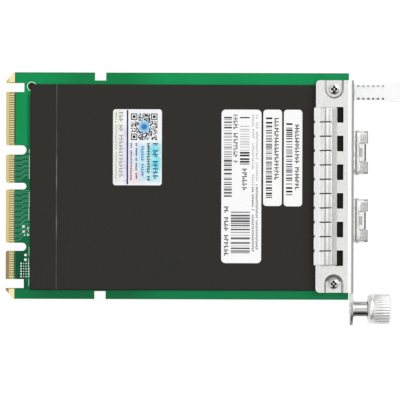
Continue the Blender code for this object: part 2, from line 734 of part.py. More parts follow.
def cage_aperture_spans():
    reach = CAGE_WIDTH / 2 + COLLAR_BULGE + COLLAR_SHEET + FIT + APERTURE_GAP
    rise = COLLAR_BULGE + COLLAR_SHEET + FIT + APERTURE_GAP
    return [
        (
            (FRONT - SHEET - CUT, side * CAGE_SPREAD - reach, HANG - CAGE_HEIGHT - rise),
            (FRONT + CUT, side * CAGE_SPREAD + reach, HANG + rise),
        )
        for side in (1, -1)
    ]


def ear_outline():
    """The ear in the YZ plane: straight out of the face, round about the thumbscrew."""
    root = -BRACKET_WIDTH / 2 + SHEET
    return [
        (root, BRACKET_MIDDLE + EAR_RADIUS),
        *arc((THUMB_Y, BRACKET_MIDDLE), EAR_RADIUS, 90, 270, 14),
        (root, BRACKET_MIDDLE - EAR_RADIUS),
    ]


def side_flange():
    """The flange folded back beside the board on the pull-tab side, under the board's component face."""
    outer = BRACKET_WIDTH / 2
    inset = SHEET / 2
    path = [
        (FRONT - SIDE_FLANGE_DEPTH, outer - inset),
        (FRONT - inset, outer - inset),
        (FRONT - inset, outer - BEND - 2 * SHEET),
    ]
    low = BRACKET_BOTTOM + BEND + SHEET / 2
    high = BOARD_BOTTOM - SIDE_FLANGE_CLEARANCE
    flange = fold("side_flange", path, (low, high), SHEET - 2 * EAR_INSET, BEND - inset)
    flange.data.transform(FOLD_TO_SIDE)
    flange.data.flip_normals()
    return flange


def io_bracket():
    """Front face, two long flanges, one side flange, the thumbscrew's ear and two drawn screw pockets."""
    inset = SHEET / 2
    path = [
        (FLANGE_START, BRACKET_TOP - inset),
        (FRONT - inset, BRACKET_TOP - inset),
        (FRONT - inset, BRACKET_BOTTOM + inset),
        (FLANGE_START, BRACKET_BOTTOM + inset),
    ]
    half = BRACKET_WIDTH / 2
    bracket = fold("io_bracket", path, (-half, half), SHEET, BEND - inset, 5, FLANGE_CORNER)
    bend_gap = (
        (FRONT - SHEET - CUT, half - BEND, BRACKET_BOTTOM + BEND),
        (FRONT + CUT, half + CUT, BRACKET_TOP - BEND),
    )
    cut(bracket, blocks("side_bend_gap", [bend_gap]))
    join(bracket, side_flange())
    ear = plate("ear", ear_outline(), FRONT - SHEET + EAR_INSET, FRONT - EAR_INSET, upright=True)
    join(bracket, ear)
    for side, word in ((1, "left"), (-1, "right")):
        floor = BOARD_TOP + FIT
        flange_middle = BRACKET_TOP - SHEET / 2
        boss_radius = POCKET_RADIUS + POCKET_WALL
        join(bracket, drawn_pocket(f"boss_{word}", boss_radius, side, floor, flange_middle))
        cut(bracket, drawn_pocket(
            f"pocket_{word}", POCKET_RADIUS, side, POCKET_FLOOR, BRACKET_TOP + CUT))
    tidy_ends = [
        (
            (SCREW_X - 3 * POCKET_RADIUS, min(side * half, side * (half + 3 * CUT)), BOARD_TOP),
            (SCREW_X + POCKET_RADIUS + BEND, max(side * half, side * (half + 3 * CUT)), BRACKET_TOP + CUT),
        )
        for side in (1, -1)
    ]
    cut(bracket, blocks("flange_ends", tidy_ends))
    slot = (
        (FRONT - SHEET - CUT, TAB_Y - TAB_NECK / 2 - FIT, BRACKET_MIDDLE - TAB_HEIGHT / 2 + SHEET - FIT),
        (FRONT + CUT, TAB_Y + TAB_NECK / 2 + FIT, BRACKET_MIDDLE + TAB_HEIGHT / 2 - SHEET + FIT),
    )
    cut(bracket, blocks("openings", gasket_window_spans() + cage_aperture_spans() + [slot]))
    screw_holes = [(SCREW_X, side * SCREW_Y, POCKET_FLOOR) for side in (1, -1)]
    cut(bracket, rods("pocket_holes", screw_holes, SCREW_HOLE_RADIUS, 2 * SHEET + CUT))
    lamps = [(FRONT, y, BOARD_BOTTOM - h) for y in (LIGHT_SPREAD, -LIGHT_SPREAD) for h in LIGHT_HEIGHTS]
    cut(bracket, rods("lamp_holes", lamps, LIGHT_RADIUS + FIT, 4 * SHEET, along_x=True))
    ear_hole = [(FRONT, THUMB_Y, BRACKET_MIDDLE)]
    cut(bracket, rods("ear_hole", ear_hole, SLEEVE_NECK + FIT, 4 * SHEET, along_x=True, sides=ROUND))
    return finished(bracket, STEEL)


def gasket_path(start, level, away, hook_end):
    """The (x, z) line of a clipped strip: under the edge, round it, over its bulge, into the windows.

    level is the carrying sheet's outer face and away is 1 or -1, the way that the bulge stands out."""
    rest = GASKET_SHEET / 2 + FIT
    rise = GASKET_RISE - GASKET_SHEET / 2
    lip = GASKET_LIP - GASKET_SHEET / 2
    back = start - lip
    bulge_steps = 6
    heights = [
        (start + GASKET_HOOK, -SHEET - rest),
        (back + GASKET_CURL, -SHEET - rest),
        (back, -SHEET + GASKET_EDGE_STEP),
        (back, -GASKET_EDGE_STEP),
        (back + GASKET_CURL, rest),
    ]
    for step in range(bulge_steps + 1):
        share = step / bulge_steps
        swell = math.sin(math.pi * share) ** BULGE_SHAPE
        heights.append((start + BULGE_START + share * BULGE_LENGTH, rest + (rise - rest) * swell))
    heights += [
        (hook_end - GASKET_HOOK_TURN, rest),
        (hook_end, rest - GASKET_HOOK_TURN),
        (hook_end, -SHEET),
    ]
    return [(x, level + away * height) for x, height in heights]


def gasket_strip(name, level, away):
    """A slotted spring strip on a long flange. It clips round the back edge and hooks into the windows."""
    half = GASKET_FINGERS * GASKET_PITCH / 2
    hook_end = WINDOW_START + GASKET_HOOK_SETBACK
    path = gasket_path(FLANGE_START, level, away, hook_end)
    strip = fold(name, path, (-half, half), GASKET_SHEET)
    inner, outer = sorted((level - away * (SHEET + CUT), level + away * (GASKET_RISE + CUT)))
    bulge = FLANGE_START + BULGE_START
    spans = []
    for index in range(1, GASKET_FINGERS):
        middle = -half + index * GASKET_PITCH
        near, far = middle - GASKET_SLOT / 2, middle + GASKET_SLOT / 2
        spans.append((
            (bulge + BULGE_MARGIN, near, inner),
            (bulge + BULGE_LENGTH - BULGE_MARGIN, far, outer),
        ))
        spans.append((
            (FLANGE_START - GASKET_LIP - CUT, near, inner),
            (FLANGE_START - GASKET_EDGE_STEP, far, outer),
        ))
    between = GASKET_PITCH * 2 - WINDOW_WIDTH + GASKET_HOOK_GAP
    for index in range(-GASKET_FINGERS // 2 + 2, GASKET_FINGERS // 2, 2):
        middle = index * GASKET_PITCH
        spans.append((
            (hook_end - 2 * GASKET_HOOK_TURN, middle - between / 2, inner),
            (hook_end + CUT, middle + between / 2, outer),
        ))
    cut(strip, blocks(name + "_slots", spans))
    return finished(strip, SPRING_METAL)


def side_gasket():
    """The short strip clipped on the side flange, its bulge outwards."""
    outer = BRACKET_WIDTH / 2
    start = FRONT - SIDE_FLANGE_DEPTH
    half = SIDE_GASKET_FINGERS * SIDE_GASKET_PITCH / 2
    low = BRACKET_BOTTOM + BEND + SHEET / 2
    high = BOARD_BOTTOM - SIDE_FLANGE_CLEARANCE
    middle = (low + high) / 2
    tail = start + BULGE_START + BULGE_LENGTH + SIDE_GASKET_TAIL
    path = gasket_path(start, outer, 1, tail)[:-2]
    strip = fold("gasket_side", path, (middle - half, middle + half), GASKET_SHEET)
    strip.data.transform(FOLD_TO_SIDE)
    strip.data.flip_normals()
    slots = []
    for index in range(1, SIDE_GASKET_FINGERS):
        level = middle - half + index * SIDE_GASKET_PITCH
        slots.append((
            (start + BULGE_START + BULGE_MARGIN, outer - CUT, level - GASKET_SLOT / 2),
            (start + BULGE_START + BULGE_LENGTH - BULGE_MARGIN, outer + 2 * CUT, level + GASKET_SLOT / 2),
        ))
    cut(strip, blocks("side_gasket_slots", slots))
    return finished(strip, SPRING_METAL)


def cross_recess(name, places, along_x=False):
    """A cross-shaped driver recess at each place, sunk to its depth."""
    long, wide, deep = RECESS_LENGTH / 2, RECESS_WIDTH / 2, RECESS_DEPTH
    tools = []
    for number, (half_a, half_b) in enumerate(((long, wide), (wide, long))):
        spans = []
        for x, y, z in places:
            if along_x:
                spans.append(((x - deep, y - half_a, z - half_b), (x + CUT, y + half_a, z + half_b)))
            else:
                spans.append(((x - half_a, y - half_b, z - deep), (x + half_a, y + half_b, z + CUT)))
        tools.append(blocks(f"{name}_{number}", spans))
    return tools


def front_screws():
    """The two screws that hold the board to the bracket, each in a round nut soldered on the board."""
    head_bottom = POCKET_FLOOR + FIT
    head_top = head_bottom + SCREW_HEAD_HEIGHT
    tip = HANG - NUT_HEIGHT + SCREW_TIP_INSET
    profile = [
        (0, head_top),
        (SCREW_HEAD_RADIUS - SCREW_HEAD_DOME, head_top),
        (SCREW_HEAD_RADIUS, head_top - SCREW_HEAD_DOME),
        (SCREW_HEAD_RADIUS, head_bottom),
        (SCREW_SHANK_RADIUS, head_bottom),
        (SCREW_SHANK_RADIUS, tip),
        (0, tip),
    ]
    nut_profile = [
        (NUT_RADIUS, HANG),
        (NUT_RADIUS, HANG - NUT_HEIGHT),
        (SCREW_SHANK_RADIUS + FIT, HANG - NUT_HEIGHT),
        (SCREW_SHANK_RADIUS + FIT, HANG),
    ]
    for side, word in ((1, "left"), (-1, "right")):
        place = (SCREW_X, side * SCREW_Y, 0)
        screw = turned(f"bracket_screw_{word}", profile, place)
        for tool in cross_recess(f"recess_{word}", [(SCREW_X, side * SCREW_Y, head_top)]):
            cut(screw, tool)
        finished(screw, NICKEL, smooth=True)
        nut = turned(f"board_nut_{word}", nut_profile, place, closed=True)
        finished(nut, BRASS, smooth=True)


def captive_sleeve():
    """The pressed-in sleeve: neck through the ear, collar on its face, bore for the spring, rolled lip."""
    neck_end = -SHEET
    bore_start = SLEEVE_FLOOR
    bore_end = SLEEVE_LENGTH - SLEEVE_LIP
    hole = THREAD_RADIUS + THREAD_CLEARANCE
    profile = [
        (SLEEVE_RADIUS - SLEEVE_EDGE, SLEEVE_LENGTH),
        (SLEEVE_RADIUS, SLEEVE_LENGTH - SLEEVE_EDGE),
        (SLEEVE_RADIUS, SLEEVE_COLLAR_THICKNESS),
        (SLEEVE_COLLAR, SLEEVE_COLLAR_THICKNESS),
        (SLEEVE_COLLAR, FIT),
        (SLEEVE_NECK, FIT),
        (SLEEVE_NECK, neck_end),
        (hole, neck_end),
        (hole, bore_start),
        (SLEEVE_BORE, bore_start),
        (SLEEVE_BORE, bore_end),
        (SHANK_RADIUS + THREAD_CLEARANCE, bore_end),
        (SHANK_RADIUS + THREAD_CLEARANCE, SLEEVE_LENGTH),
    ]
    sleeve = turned("captive_sleeve", profile, (FRONT, THUMB_Y, BRACKET_MIDDLE), ALONG_X, closed=True)
    return finished(sleeve, NICKEL, smooth=True)


def captive_screw():
    """The screw fixed in the knob: shank through the lip, stop collar under it, thread below."""
    stop_top = SLEEVE_LENGTH - SLEEVE_LIP - FIT
    stop_bottom = stop_top - STOP_THICKNESS
    head = KNOB_STANDOFF + KNOB_LENGTH - SCREW_SINK
    thread_top = THREAD_LENGTH - SHEET
    thread_tip = -SHEET + THREAD_TIP_INSET
    profile = [
        (0, head),
        (THREAD_RADIUS, head),
        (THREAD_RADIUS, KNOB_CAVITY_END + THREAD_POINT),
        (SHANK_RADIUS, KNOB_CAVITY_END),
        (SHANK_RADIUS, stop_top),
        (STOP_COLLAR, stop_top),
        (STOP_COLLAR, stop_bottom),
        (SHANK_RADIUS, stop_bottom),
        (SHANK_RADIUS, thread_top + THREAD_POINT),
        (THREAD_RADIUS, thread_top),
        (THREAD_RADIUS, thread_tip + THREAD_POINT),
        (THREAD_RADIUS - THREAD_POINT, thread_tip),
        (0, thread_tip),
    ]
    place = (FRONT, THUMB_Y, BRACKET_MIDDLE)
    screw = turned("captive_screw", profile, place, ALONG_X)
    for tool in cross_recess("captive_recess", [(FRONT + head, THUMB_Y, BRACKET_MIDDLE)], along_x=True):
        cut(screw, tool)
    return finished(screw, NICKEL, smooth=True)


def captive_spring():
    """The compression spring between the sleeve's floor and the screw's stop collar."""
    stop_bottom = SLEEVE_LENGTH - SLEEVE_LIP - FIT - STOP_THICKNESS
    bottom = SLEEVE_FLOOR + FIT
    radius = SLEEVE_BORE - FIT - KNOB_SPRING_WIRE / 2
    place = (FRONT + bottom, THUMB_Y, BRACKET_MIDDLE)
    length = stop_bottom - FIT - bottom
    spring = coil(
        "captive_spring", radius, KNOB_SPRING_WIRE, length, KNOB_SPRING_TURNS, place, ALONG_X)
    return finished(spring, SPRING_METAL)


def thumb_knob():
    """The knurled cap: a plain chamfered shoulder, straight knurls, and a cavity that takes the sleeve."""
    back = KNOB_STANDOFF
    front = back + KNOB_LENGTH
    profile = [
        (KNOB_RADIUS - KNOB_EDGE, front),
        (KNOB_RADIUS, front - KNOB_EDGE),
        (KNOB_RADIUS, back + KNOB_CHAMFER),
        (KNOB_RADIUS - KNOB_CHAMFER, back),
        (KNOB_CAVITY, back),
        (KNOB_CAVITY, KNOB_CAVITY_END),
        (THREAD_RADIUS + FIT, KNOB_CAVITY_END),
        (THREAD_RADIUS + FIT, front),
    ]
    place = (FRONT, THUMB_Y, BRACKET_MIDDLE)
    knob = turned("thumb_knob", profile, place, ALONG_X, closed=True, steps=KNURLS)
    length = KNOB_LENGTH - KNOB_SHOULDER + CUT
    middle = FRONT + back + KNOB_SHOULDER + length / 2
    grooves = []
    for index in range(KNURLS):
        angle = math.tau * (index + 0.5) / KNURLS
        y = THUMB_Y + KNOB_RADIUS * math.cos(angle)
        z = BRACKET_MIDDLE + KNOB_RADIUS * math.sin(angle)
        grooves.append((middle, y, z))
    cut(knob, rods("knurls", grooves, KNURL_RADIUS, length, along_x=True, sides=6))
    return finished(knob, NICKEL, smooth=True)


def pull_tab():
    """The moulded tab: anchor behind the face, neck through the slot, flexing notches, thicker head."""
    thin, thick = TAB_THICKNESS / 2, TAB_HEAD_THICKNESS / 2
    neck = TAB_NECK / 2
    behind = FRONT - SHEET - FIT
    ahead = FRONT + FIT
    end = FRONT + TAB_REACH
    blend_start = FRONT + TAB_HEAD_START
    head = [
        (blend_start, thin),
        (blend_start + TAB_HEAD_BLEND, thick),
        *arc((end - thick, 0), thick, 90, 0, 6),
    ]
    half = [
        (behind - TAB_ANCHOR, neck + TAB_ANCHOR / 2),
        (behind, neck + TAB_ANCHOR / 2),
        (behind, neck),
        (ahead, neck),
        (ahead, thin),
        *head,
    ]
    outline = half + [(x, -y) for x, y in reversed(half[:-1])]
    outline = [(x, TAB_Y + y) for x, y in outline]
    low, high = BRACKET_MIDDLE - TAB_HEIGHT / 2, BRACKET_MIDDLE + TAB_HEIGHT / 2
    tab = plate("pull_tab", outline, low, high)
    shoulders = [
        (
            (behind - FIT, TAB_Y - TAB_HEAD_THICKNESS, level - SHEET),
            (ahead, TAB_Y + TAB_HEAD_THICKNESS, level + SHEET),
        )
        for level in (low, high)
    ]
    cut(tab, blocks("neck_shoulders", shoulders))
    notches = [
        (
            FRONT + TAB_NOTCH_START + index * TAB_NOTCH_PITCH,
            TAB_Y + side * (thin - TAB_NOTCH_DEPTH + TAB_NOTCH_RADIUS),
            BRACKET_MIDDLE,
        )
        for index in range(TAB_NOTCHES)
        for side in (1, -1)
    ]
    cut(tab, rods("tab_notches", notches, TAB_NOTCH_RADIUS, TAB_HEIGHT + 2 * CUT, sides=10))
    return finished(tab, CLEAR_ELASTOMER)


def cage_shell(word, middle):
    """Folded cage: far wall, two sides and back, open to the board and at the front, with vent holes."""
    half = CAGE_WIDTH / 2
    work = bmesh.new()
    low = Vector((CAGE_BACK, middle - half, HANG - CAGE_HEIGHT))
    high = Vector((CAGE_FRONT, middle + half, HANG))
    size = Matrix.Diagonal((*(high - low), 1))
    bmesh.ops.create_cube(work, size=1, matrix=Matrix.Translation((low + high) / 2) @ size)
    bmesh.ops.recalc_face_normals(work, faces=work.faces)
    openings = [f for f in work.faces if f.normal.z > 0.9 or f.normal.x > 0.9]
    bmesh.ops.delete(work, geom=openings, context="FACES_ONLY")
    mesh = bpy.data.meshes.new(f"cage_shell_{word}")
    work.to_mesh(mesh)
    work.free()
    shell = placed(bpy.data.objects.new(f"cage_shell_{word}", mesh))
    sheet = shell.modifiers.new("sheet", "SOLIDIFY")
    sheet.thickness = CAGE_SHEET
    sheet.offset = -1
    sheet.use_even_offset = True
    first = FLANGE_START - VENT_PITCH
    vents = [
        (first - column * VENT_PITCH, middle + row * VENT_PITCH, HANG - CAGE_HEIGHT)
        for column in range(VENT_COLUMNS)
        for row in (-1, 0, 1)
    ]
    cut(shell, rods(f"vents_{word}", vents, VENT_RADIUS, 4 * CAGE_SHEET, sides=8))
    return finished(shell, CAGE_METAL)


def cage_base(word, middle):
    """The cage's floor against the board, with the module latch as a tongue between two slits."""
    half = CAGE_WIDTH / 2 - CAGE_SHEET - FIT
    back = CAGE_BACK + RECEPTACLE_LENGTH + CAGE_BASE_CLEARANCE
    base = blocks(f"cage_base_{word}", [(
        (back, middle - half, HANG - CAGE_SHEET), (CAGE_FRONT, middle + half, HANG))])
    low, high = HANG - CUT, HANG + CUT
    tongue = LATCH_WIDTH / 2
    slits = [
        (
            (CAGE_FRONT - LATCH_LENGTH, min(inner, outer), low),
            (CAGE_FRONT + CUT, max(inner, outer), high),
        )
        for side in (1, -1)
        for inner, outer in [(middle + side * tongue, middle + side * (tongue + LATCH_SLIT))]
    ]
    cut(base, blocks(f"latch_slits_{word}", slits))
    short = (
        (CAGE_FRONT - LATCH_SETBACK, middle - tongue - LATCH_SLIT / 2, low),
        (CAGE_FRONT + CUT, middle + tongue + LATCH_SLIT / 2, high),
    )
    hole_start = CAGE_FRONT - LATCH_SETBACK - LATCH_HOLE_SETBACK
    hole = (
        (hole_start, middle - LATCH_HOLE_WIDTH / 2, low),
        (hole_start + LATCH_HOLE_LENGTH, middle + LATCH_HOLE_WIDTH / 2, high),
    )
    cut(base, blocks(f"latch_end_{word}", [short, hole]))
    return finished(base, CAGE_METAL)


def cage_collar(word, middle):
    """The spring collar round the cage's mouth: a band, then fingers that swell to meet the bracket."""
    steps = 6
    half_width = CAGE_WIDTH / 2 + FIT
    half_height = CAGE_HEIGHT / 2 + FIT
    centre = Vector((CAGE_FRONT, middle, HANG - CAGE_HEIGHT / 2))
    work = bmesh.new()
    size = Matrix.Diagonal((COLLAR_LENGTH, 2 * half_width, 2 * half_height, 1))
    bmesh.ops.create_cube(
        work, size=1, matrix=Matrix.Translation((-COLLAR_LENGTH / 2, 0, 0)) @ size)
    bmesh.ops.recalc_face_normals(work, faces=work.faces)
    ends = [f for f in work.faces if abs(f.normal.x) > 0.9]
    bmesh.ops.delete(work, geom=ends, context="FACES_ONLY")
    swell_length = COLLAR_LENGTH - COLLAR_BAND
    for step in range(steps):
        station = -COLLAR_BAND - swell_length * step / steps
        everything = work.verts[:] + work.edges[:] + work.faces[:]
        bmesh.ops.bisect_plane(work, geom=everything, plane_co=(station, 0, 0), plane_no=(1, 0, 0))
    for vertex in work.verts:
        share = max(0.0, (-vertex.co.x - COLLAR_BAND) / swell_length)
        swell = COLLAR_BULGE * math.sin(math.pi * min(share, 1) * COLLAR_CLOSING) ** COLLAR_SHAPE
        vertex.co.y += math.copysign(swell, vertex.co.y)
        vertex.co.z += math.copysign(swell, vertex.co.z)
    bmesh.ops.translate(work, verts=work.verts, vec=centre)
    mesh = bpy.data.meshes.new(f"cage_collar_{word}")
    work.to_mesh(mesh)
    work.free()
    collar = placed(bpy.data.objects.new(f"cage_collar_{word}", mesh))
    sheet = collar.modifiers.new("sheet", "SOLIDIFY")
    sheet.thickness = COLLAR_SHEET
    sheet.offset = 1
    sheet.use_even_offset = True
    swell_start = CAGE_FRONT - COLLAR_BAND - 2 * FIT
    back = CAGE_FRONT - COLLAR_LENGTH - CUT
    rise = half_height + 2 * CUT
    gap = COLLAR_GAP / 2
    corners = []
    for side in (1, -1):
        for above in (1, -1):
            ys = sorted(middle + side * y for y in (half_width - COLLAR_CORNER, half_width + 2 * CUT))
            zs = sorted(centre.z + above * z for z in (half_height - COLLAR_CORNER, rise))
            corners.append(((back, ys[0], zs[0]), (swell_start, ys[1], zs[1])))
    fingers = [
        ((back, middle + y - gap, centre.z - rise), (swell_start, middle + y + gap, centre.z))
        for y in (-CAGE_WIDTH / 6, CAGE_WIDTH / 6)
    ]
    level = centre.z + COLLAR_GAP_RISE
    sides = [
        ((back, y - 2 * CUT, level - gap), (swell_start, y + 2 * CUT, level + gap))
        for y in (middle - half_width, middle + half_width)
    ]
    cut(collar, blocks(f"collar_corners_{word}", corners))
    cut(collar, blocks(f"collar_fingers_{word}", fingers + sides))
    clearing = LATCH_WIDTH / 2 + LATCH_SLIT
    latch_clearing = (
        (CAGE_FRONT - COLLAR_BAND, middle - clearing, HANG - CUT),
        (CAGE_FRONT + CUT, middle + clearing, HANG + CUT),
    )
    cut(collar, blocks(f"latch_clearing_{word}", [latch_clearing]))
    return finished(collar, SPRING_METAL)


def receptacle(word, middle):
    """The moulded receptacle at the cage's back, with its slot for the module's card edge."""
    half = CAGE_WIDTH / 2 - CAGE_SHEET - RECEPTACLE_SIDE_GAP
    back = CAGE_BACK + CAGE_SHEET + FIT
    front = back + RECEPTACLE_LENGTH
    body = blocks(f"receptacle_{word}", [(
        (back, middle - half, HANG - RECEPTACLE_HEIGHT), (front, middle + half, HANG))])
    slot_middle = HANG - RECEPTACLE_SLOT_LEVEL
    slot_half = half - RECEPTACLE_WALL
    slot = (
        (front - RECEPTACLE_SLOT_DEPTH, middle - slot_half, slot_middle - RECEPTACLE_SLOT_HEIGHT / 2),
        (front + CUT, middle + slot_half, slot_middle + RECEPTACLE_SLOT_HEIGHT / 2),
    )
    cut(body, blocks(f"receptacle_slot_{word}", [slot]))
    return finished(body, BLACK_PLASTIC)


def module_cages():
    for side, word in ((1, "left"), (-1, "right")):
        middle = side * CAGE_SPREAD
        cage_shell(word, middle)
        cage_base(word, middle)
        cage_collar(word, middle)
        receptacle(word, middle)


def light_pipe():
    """Clear moulding between the cages: a foot on the board's lamps, four rods to the bracket's holes."""
    front = FRONT - LIGHT_BLOCK_SETBACK
    half = LIGHT_BLOCK_WIDTH / 2
    lowest = HANG - max(LIGHT_HEIGHTS) - LIGHT_RADIUS - LIGHT_BLOCK_MARGIN
    pipe = blocks("light_pipe", [(
        (front - LIGHT_BLOCK_LENGTH, -half, lowest), (front, half, HANG))])
    length = LIGHT_BLOCK_SETBACK + CUT + LIGHT_PROUD
    middle_x = front - CUT + length / 2
    places = [
        (middle_x, y, BOARD_BOTTOM - h) for y in (LIGHT_SPREAD, -LIGHT_SPREAD) for h in LIGHT_HEIGHTS]
    join(pipe, rods("pipe_rods", places, LIGHT_RADIUS, length, along_x=True))
    return finished(pipe, CLEAR_ACRYLIC)


def sink_screw_places():
    """The two spring screws stand at opposite corners of the heatsink."""
    dx = SINK_LENGTH / 2 - SINK_SCREW_INSET
    dy = SINK_WIDTH / 2 - SINK_SCREW_INSET
    return ((CHIP_X - dx, dy), (CHIP_X + dx, -dy))


def controller_chip():
    half, lid = CHIP_SIZE / 2, CHIP_LID / 2
    chip = blocks("controller_chip", [(
        (CHIP_X - half, -half, HANG - CHIP_SUBSTRATE), (CHIP_X + half, half, HANG))])
    lid_top = HANG - CHIP_SUBSTRATE / 2
    lid_bottom = HANG - CHIP_SUBSTRATE - CHIP_LID_HEIGHT
    join(chip, blocks("chip_lid", [((CHIP_X - lid, -lid, lid_bottom), (CHIP_X + lid, lid, lid_top))]))
    finished(chip, CHIP_RESIN)
    pad = CHIP_LID / 2 - PAD_MARGIN
    top = lid_bottom - FIT
    thermal_pad = blocks("thermal_pad", [(
        (CHIP_X - pad, -pad, top - PAD_THICKNESS), (CHIP_X + pad, pad, top))])
    return finished(thermal_pad, PAD_GREY)


def sink_seat():
    """The level of the heatsink's base face, against the thermal pad."""
    return HANG - CHIP_SUBSTRATE - CHIP_LID_HEIGHT - 2 * FIT - PAD_THICKNESS


def heatsink():
    """Extruded fins along the airflow, milled away in two corners for the spring screws."""
    seat = sink_seat()
    bottom = seat - SINK_HEIGHT
    x_low, x_high = CHIP_X - SINK_LENGTH / 2, CHIP_X + SINK_LENGTH / 2
    half = SINK_WIDTH / 2
    sink = blocks("heatsink", [((x_low, -half, bottom), (x_high, half, seat))])
    pitch = (SINK_WIDTH - FIN_THICKNESS) / (SINK_FINS - 1)
    channels = []
    for index in range(SINK_FINS - 1):
        start = -half + FIN_THICKNESS + index * pitch
        channels.append((
            (x_low - CUT, start, bottom - CUT),
            (x_high + CUT, start + pitch - FIN_THICKNESS, seat - SINK_BASE),
        ))
    cut(sink, blocks("fin_channels", channels))
    clearings = []
    for x, y in sink_screw_places():
        reach_x = math.copysign(SINK_SCREW_CLEARING / 2, x - CHIP_X)
        reach_y = math.copysign(SINK_SCREW_CLEARING / 2, y)
        xs = sorted((x - reach_x, x + 2 * reach_x))
        ys = sorted((y - reach_y, y + 2 * reach_y))
        clearings.append(((xs[0], ys[0], bottom - CUT), (xs[1], ys[1], seat - SINK_BASE)))
    cut(sink, blocks("screw_clearings", clearings))
    holes = [(x, y, seat) for x, y in sink_screw_places()]
    cut(sink, rods("sink_holes", holes, SINK_SHANK_RADIUS + 3 * FIT, 3 * SINK_BASE))
    return finished(sink, ALUMINIUM)


def sink_fasteners():
    """Spring, screw and soldered standoff at each of the two corners. Heights run down from the board."""
    seat_depth = HANG - sink_seat()
    spring_start = seat_depth + SINK_BASE + FIT
    head_start = spring_start + SPRING_HEIGHT + FIT
    head_end = head_start + SINK_HEAD_HEIGHT
    screw_profile = [
        (0, head_end),
        (SINK_HEAD_RADIUS - SINK_HEAD_EDGE, head_end),
        (SINK_HEAD_RADIUS, head_end - SINK_HEAD_EDGE),
        (SINK_HEAD_RADIUS, head_start),
        (SINK_SHANK_RADIUS, head_start),
        (SINK_SHANK_RADIUS, SINK_SCREW_START),
        (0, SINK_SCREW_START),
    ]
    standoff_profile = [
        (STANDOFF_RADIUS, seat_depth - FIT),
        (STANDOFF_RADIUS, 0),
        (STANDOFF_BORE, 0),
        (STANDOFF_BORE, seat_depth - FIT),
    ]
    for number, (x, y) in enumerate(sink_screw_places(), 1):
        screw = turned(f"sink_screw_{number}", screw_profile, (x, y, HANG), HANGING)
        recess_level = HANG - head_end + RECESS_DEPTH - CUT
        for tool in cross_recess(f"sink_recess_{number}", [(x, y, recess_level)]):
            cut(screw, tool)
        finished(screw, NICKEL, smooth=True)
        spring = coil(
            f"sink_spring_{number}", SPRING_RADIUS, SPRING_WIRE, SPRING_HEIGHT, SPRING_TURNS,
            (x, y, HANG - spring_start), HANGING)
        finished(spring, SPRING_METAL)
        standoff = turned(
            f"sink_standoff_{number}", standoff_profile, (x, y, HANG), HANGING, closed=True)
        finished(standoff, BRASS, smooth=True)


def hung_block(name, sizes):
    """A small part's body, hung against the component face."""
    side, x, from_edge, length, width, height = sizes
    y = SIDES[side] * (BOARD_WIDTH / 2 - from_edge)
    return blocks(name, [(
        (x - length / 2, y - width / 2, HANG - height), (x + length / 2, y + width / 2, HANG))])


def small_parts():
    for name, sizes in INDUCTORS.items():
        body = hung_block(name, sizes)
        finished(softened(body, INDUCTOR_EDGE), FERRITE)
    for name, sizes in REGULATORS.items():
        finished(hung_block(name, sizes), CHIP_RESIN)
    for name, sizes in CAPACITORS.items():
        finished(softened(hung_block(name, sizes), CAPACITOR_EDGE), BLACK_PLASTIC)
    finished(softened(hung_block("crystal", CRYSTAL), CRYSTAL_EDGE), CAGE_METAL)
    flash_chip()


def flash_chip():
    """An eight-lead memory chip: moulded body, four gull-wing leads on each long side."""
    side, x, from_edge, length, width, height = FLASH_CHIP
    y = SIDES[side] * (BOARD_WIDTH / 2 - from_edge)
    half, thick = FLASH_LEAD_WIDTH / 2, FLASH_LEAD_THICKNESS
    shoulder = HANG - height / 2
    body = blocks("flash_chip", [(
        (x - length / 2, y - width / 2, HANG - height),
        (x + length / 2, y + width / 2, HANG - FLASH_STANDOFF),
    )])
    shoulders, knees, feet = [], [], []
    for way in (1, -1):
        inner = y + way * (width / 2 - FLASH_LEAD_ROOT)
        knee = y + way * (width / 2 + FLASH_FOOT / 2)
        toe = y + way * (width / 2 + FLASH_FOOT)
        arm_span = sorted((inner, knee))
        knee_span = sorted((knee - way * thick, knee + 2 * way * TOUCH))
        foot_span = sorted((knee - way * thick, toe))
        for index in range(FLASH_LEADS):
            middle = x + (index - (FLASH_LEADS - 1) / 2) * FLASH_LEAD_PITCH
            shoulders.append((
                (middle - half, arm_span[0], shoulder - thick / 2),
                (middle + half, arm_span[1], shoulder + thick / 2),
            ))
            knees.append((
                (middle - half + TOUCH, knee_span[0], shoulder - thick / 2 + 2 * TOUCH),
                (middle + half - TOUCH, knee_span[1], HANG - 2 * TOUCH),
            ))
            feet.append((
                (middle - half, foot_span[0], HANG - thick),
                (middle + half, foot_span[1], HANG),
            ))
    join(body, blocks("lead_shoulders", shoulders))
    join(body, blocks("lead_feet", feet))
    join(body, blocks("lead_knees", knees))
    return finished(body, CHIP_RESIN)


circuit_board()
insulator()
labels()
io_bracket()
gasket_strip("gasket_secondary", BRACKET_TOP, 1)
gasket_strip("gasket_component", BRACKET_BOTTOM, -1)
side_gasket()
front_screws()
captive_sleeve()
captive_screw()
captive_spring()
thumb_knob()
pull_tab()
module_cages()
light_pipe()
controller_chip()
heatsink()
sink_fasteners()
small_parts()
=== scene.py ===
import math

